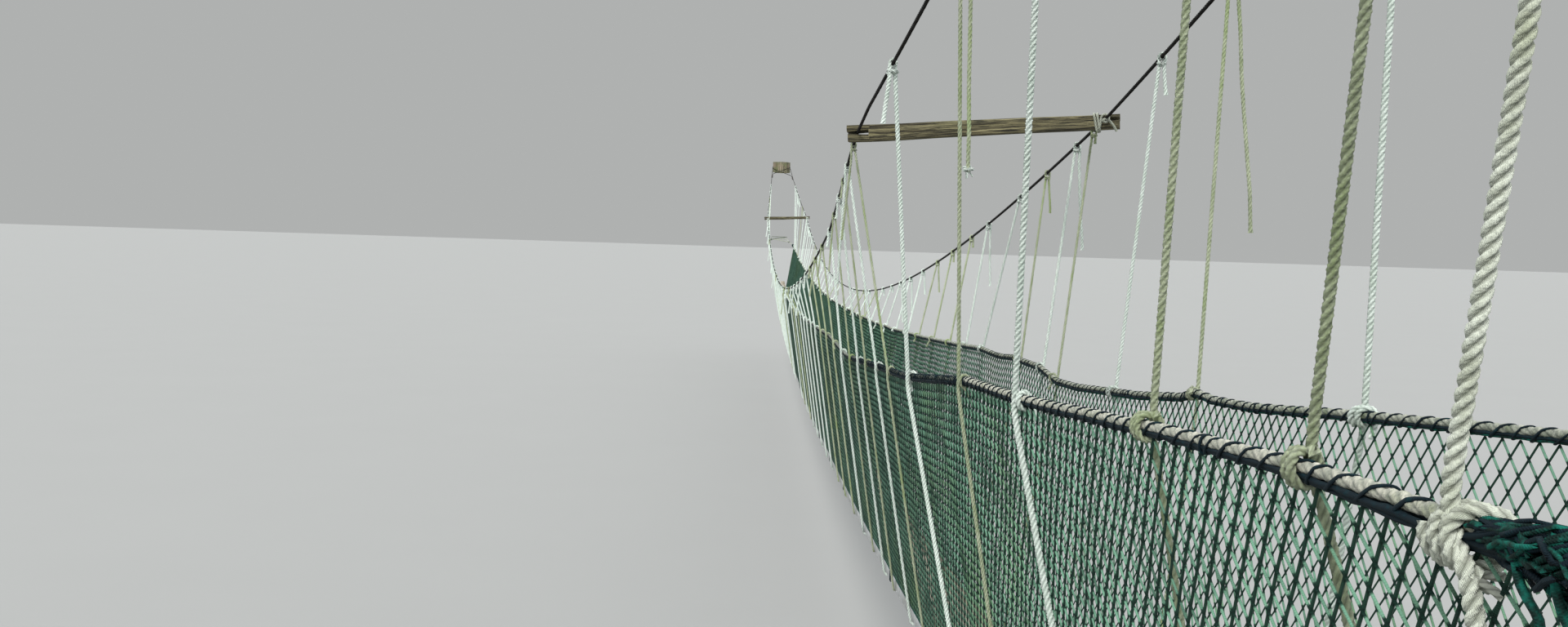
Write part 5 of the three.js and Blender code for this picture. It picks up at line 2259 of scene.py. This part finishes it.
    def build_ties(self) -> None:
        """Makes the thin rope ties that bind the boards to the ladders."""
        lines = self.lines
        surface = Surface()
        count = int((lines.mirror(lines.deck_end) - lines.deck_end) / self.tie_pitch)
        cord = self.tie_r
        for k in range(count):
            place = lines.deck_end + (k + 0.35) * self.tie_pitch
            for turn in (-0.5, 0.5):
                y = place + turn * 2.1 * cord
                z_top = float(lines.deck_z(y)) + cord * 0.8
                z_low = float(lines.ladder_bottom(y)) - cord
                x = lines.deck_half + cord + 0.001
                loop = np.array([[0, y, z_top], [x, y, z_top], [x, y + 0.002, z_low], [-x, y + 0.002, z_low],
                                 [-x, y, z_top], [0.0, y, z_top]])
                add_tube(surface, thinned(filleted(loop, 0.008, 4), 0.06, 0.5), cord, 5)
        self.workshop.piece("deck_ties", surface, [self.finishes.lacing], "net_twine", [])

    def build(self) -> None:
        """Makes the ladders, the boards and the ties."""
        self.build_ladders()
        self.build_boards()
        self.build_ties()


# Packing under the cables' eyes


@dataclass
class EndPackings(Assembly):
    """Rings of timber staves that the cables' eyes bear on, bound by two wires."""

    staves: int = 12
    gap: float = 0.006
    stave_edge: float = 0.004
    stave_steps: int = 16
    wire_r: float = 0.0018
    wire_from_middle: float = 0.115

    def build(self) -> None:
        """Makes each ring of staves with its two binding wires."""
        lines = self.lines
        for name, y in (("near", lines.near_end), ("far", lines.far_end)):
            surface = Surface()
            draw = np.random.default_rng(600 if name == "near" else 640)
            for k in range(self.staves):
                self.add_stave(surface, y, TURN * k / self.staves, draw)
            for z in (-self.wire_from_middle, self.wire_from_middle):
                self.add_wire(surface, y, z)
            self.workshop.piece(f"staves_{name}", surface, [self.finishes.staves, self.finishes.zinc],
                                "weathered_timber", [f"tree_packing_{name}"])

    def add_stave(self, surface: Surface, y: float, angle: float, draw: np.random.Generator) -> None:
        """Adds one stave: a trapezoid in plan with worn outer edges, uneven ends and a rough face.

        Args:
            surface: where the shape goes.
            y: the ring's middle.
            angle: where on the ring, in radians.
            draw: the piece's random draws.
        """
        inner = self.lines.post_across / 2
        outer = inner + self.lines.packing_thick
        out = np.array([np.cos(angle), np.sin(angle)])
        along = np.array([-np.sin(angle), np.cos(angle)])
        wide_in, wide_out = (r * np.tan(np.pi / self.staves) - self.gap / 2 for r in (inner, outer))
        soft = self.stave_edge
        flat = np.array([[inner, -wide_in], [outer - soft, -wide_out], [outer, soft - wide_out],
                         [outer, wide_out - soft], [outer - soft, wide_out], [inner, wide_in]])
        plan = flat[:, :1] * out + flat[:, 1:] * along
        top = self.lines.packing_tall / 2 - draw.uniform(0, 0.010)
        low = draw.uniform(0, 0.010) - self.lines.packing_tall / 2
        z = np.linspace(low, top, self.stave_steps)
        rough = np.abs(0.0012 * ripple(z, int(draw.integers(1000)), 0.25))
        grid = np.empty((1, self.stave_steps, len(flat), 3))
        grid[0, ..., :2] = plan - out * rough[:, None, None] + np.array([0, y])
        grid[0, ..., 2] = z[:, None]
        surface.tubes(grid, z[None])

    def add_wire(self, surface: Surface, y: float, z: float) -> None:
        """Adds one wire bound round the ring.

        Args:
            surface: where the shape goes.
            y: the ring's middle.
            z: the wire's height.
        """
        corner = (self.lines.post_across / 2 + self.lines.packing_thick + self.wire_r) / np.cos(
            np.pi / self.staves)
        turn = TURN * (np.arange(self.staves + 2) + 0.5) / self.staves
        wire = np.stack([corner * np.cos(turn), y + corner * np.sin(turn), np.full(len(turn), z)], 1)
        add_tube(surface, paced(filleted(wire, 0.01, 4), 0.02), self.wire_r, keeper=UP, mark=1)


# Studio


@dataclass(frozen=True)
class Studio:
    """A plain pale floor, soft light and the camera at the photograph's angle."""

    floor_z: float = -5.2
    floor_half: float = 400.0
    floor_tone: Colour = (0.285, 0.288, 0.285)
    sky_tone: Colour = (0.43, 0.44, 0.435)
    eye: tuple[float, float, float] = (-0.9534, 1.6, -2.0251)
    yaw: float = 0.0329
    pitch: float = -0.0615
    roll: float = -0.0316
    lens: float = 28.0
    sun_energy: float = 3.0
    sun_spread: float = 0.35
    sun_tone: Colour = (1.0, 0.98, 0.94)
    sun_turn: tuple[float, float, float] = (0.62, -0.50, 0.15)
    sky_light: Colour = (0.95, 0.985, 1.0)
    sky_strength: float = 1.12

    def build(self) -> None:
        """Makes the floor, the light and the camera."""
        self.build_floor()
        self.build_light()
        self.build_camera()

    def build_floor(self) -> None:
        """Makes the floor: one large sheet below the bridge."""
        h = self.floor_half
        corners = [(-h, -h, self.floor_z), (h, -h, self.floor_z), (h, h, self.floor_z), (-h, h, self.floor_z)]
        mesh = bpy.data.meshes.new("floor")
        mesh.from_pydata(corners, [], [(0, 1, 2, 3)])
        floor = bpy.data.objects.new("floor", mesh)
        material, graph, shader = new_material("studio_floor")
        tone = graph.noise(graph.place(), 0.6, 2.0)
        pale = tuple(c * 1.03 for c in self.floor_tone)
        graph.link(graph.blend(tone, self.floor_tone, pale), shader.inputs["Base Color"])
        shader.inputs["Roughness"].default_value = 0.9
        mesh.materials.append(material)
        bpy.context.scene.collection.objects.link(floor)

    def build_light(self) -> None:
        """Makes an even sky, shown a little greyer than the floor, and one broad soft sun."""
        world = bpy.data.worlds.new("studio")
        world.use_nodes = True
        graph = Graph(world.node_tree)
        world.node_tree.nodes.clear()
        lit = graph.add("ShaderNodeBackground", {0: (*self.sky_light, 1.0), 1: self.sky_strength})
        shown = graph.add("ShaderNodeBackground", {0: (*self.sky_tone, 1.0), 1: 1.0})
        seen = graph.add("ShaderNodeLightPath").outputs["Is Camera Ray"]
        mixed = graph.add("ShaderNodeMixShader", {0: seen, 1: lit.outputs[0], 2: shown.outputs[0]})
        graph.add("ShaderNodeOutputWorld", {0: mixed.outputs[0]})
        bpy.context.scene.world = world
        sun = bpy.data.lights.new("soft_sun", "SUN")
        sun.energy = self.sun_energy
        sun.angle = self.sun_spread
        sun.color = self.sun_tone
        lamp = bpy.data.objects.new("soft_sun", sun)
        lamp.rotation_euler = self.sun_turn
        bpy.context.scene.collection.objects.link(lamp)

    def build_camera(self) -> None:
        """Makes the camera: forward and up come from its yaw, pitch and roll."""
        sin_yaw, cos_yaw = np.sin(self.yaw), np.cos(self.yaw)
        sin_pitch, cos_pitch = np.sin(self.pitch), np.cos(self.pitch)
        forward = np.array([sin_yaw * cos_pitch, cos_yaw * cos_pitch, sin_pitch])
        right = np.array([cos_yaw, -sin_yaw, 0])
        top = np.array([-sin_yaw * sin_pitch, -cos_yaw * sin_pitch, cos_pitch])
        cos_roll, sin_roll = np.cos(self.roll), np.sin(self.roll)
        x_axis = right * cos_roll - top * sin_roll
        y_axis = right * sin_roll + top * cos_roll
        camera = bpy.data.cameras.new("camera")
        camera.lens = self.lens
        camera.sensor_width = 36.0
        camera.clip_start = 0.02
        camera.clip_end = 1000.0
        held = bpy.data.objects.new("camera", camera)
        turn = np.eye(4)
        turn[:3, 0], turn[:3, 1], turn[:3, 2], turn[:3, 3] = x_axis, y_axis, -forward, self.eye
        held.matrix_world = Matrix(turn.tolist())
        bpy.context.scene.collection.objects.link(held)
        bpy.context.scene.camera = held
        bpy.context.scene.view_settings.view_transform = "Standard"


def main() -> None:
    """Builds every sub-assembly in order."""
    logging.basicConfig(level=logging.INFO, format="%(name)s: %(message)s")
    lines = Lines()
    finishes = Finishes()
    workshop = Workshop()
    Studio().build()
    for assembly in (MainCables, Handrails, Hangers, SideNets, SpreaderBeams, Deck, EndPackings):
        assembly(lines, finishes, workshop).build()
    log.info("%d triangles in all", workshop.total)


if __name__ == "__main__":
    main()
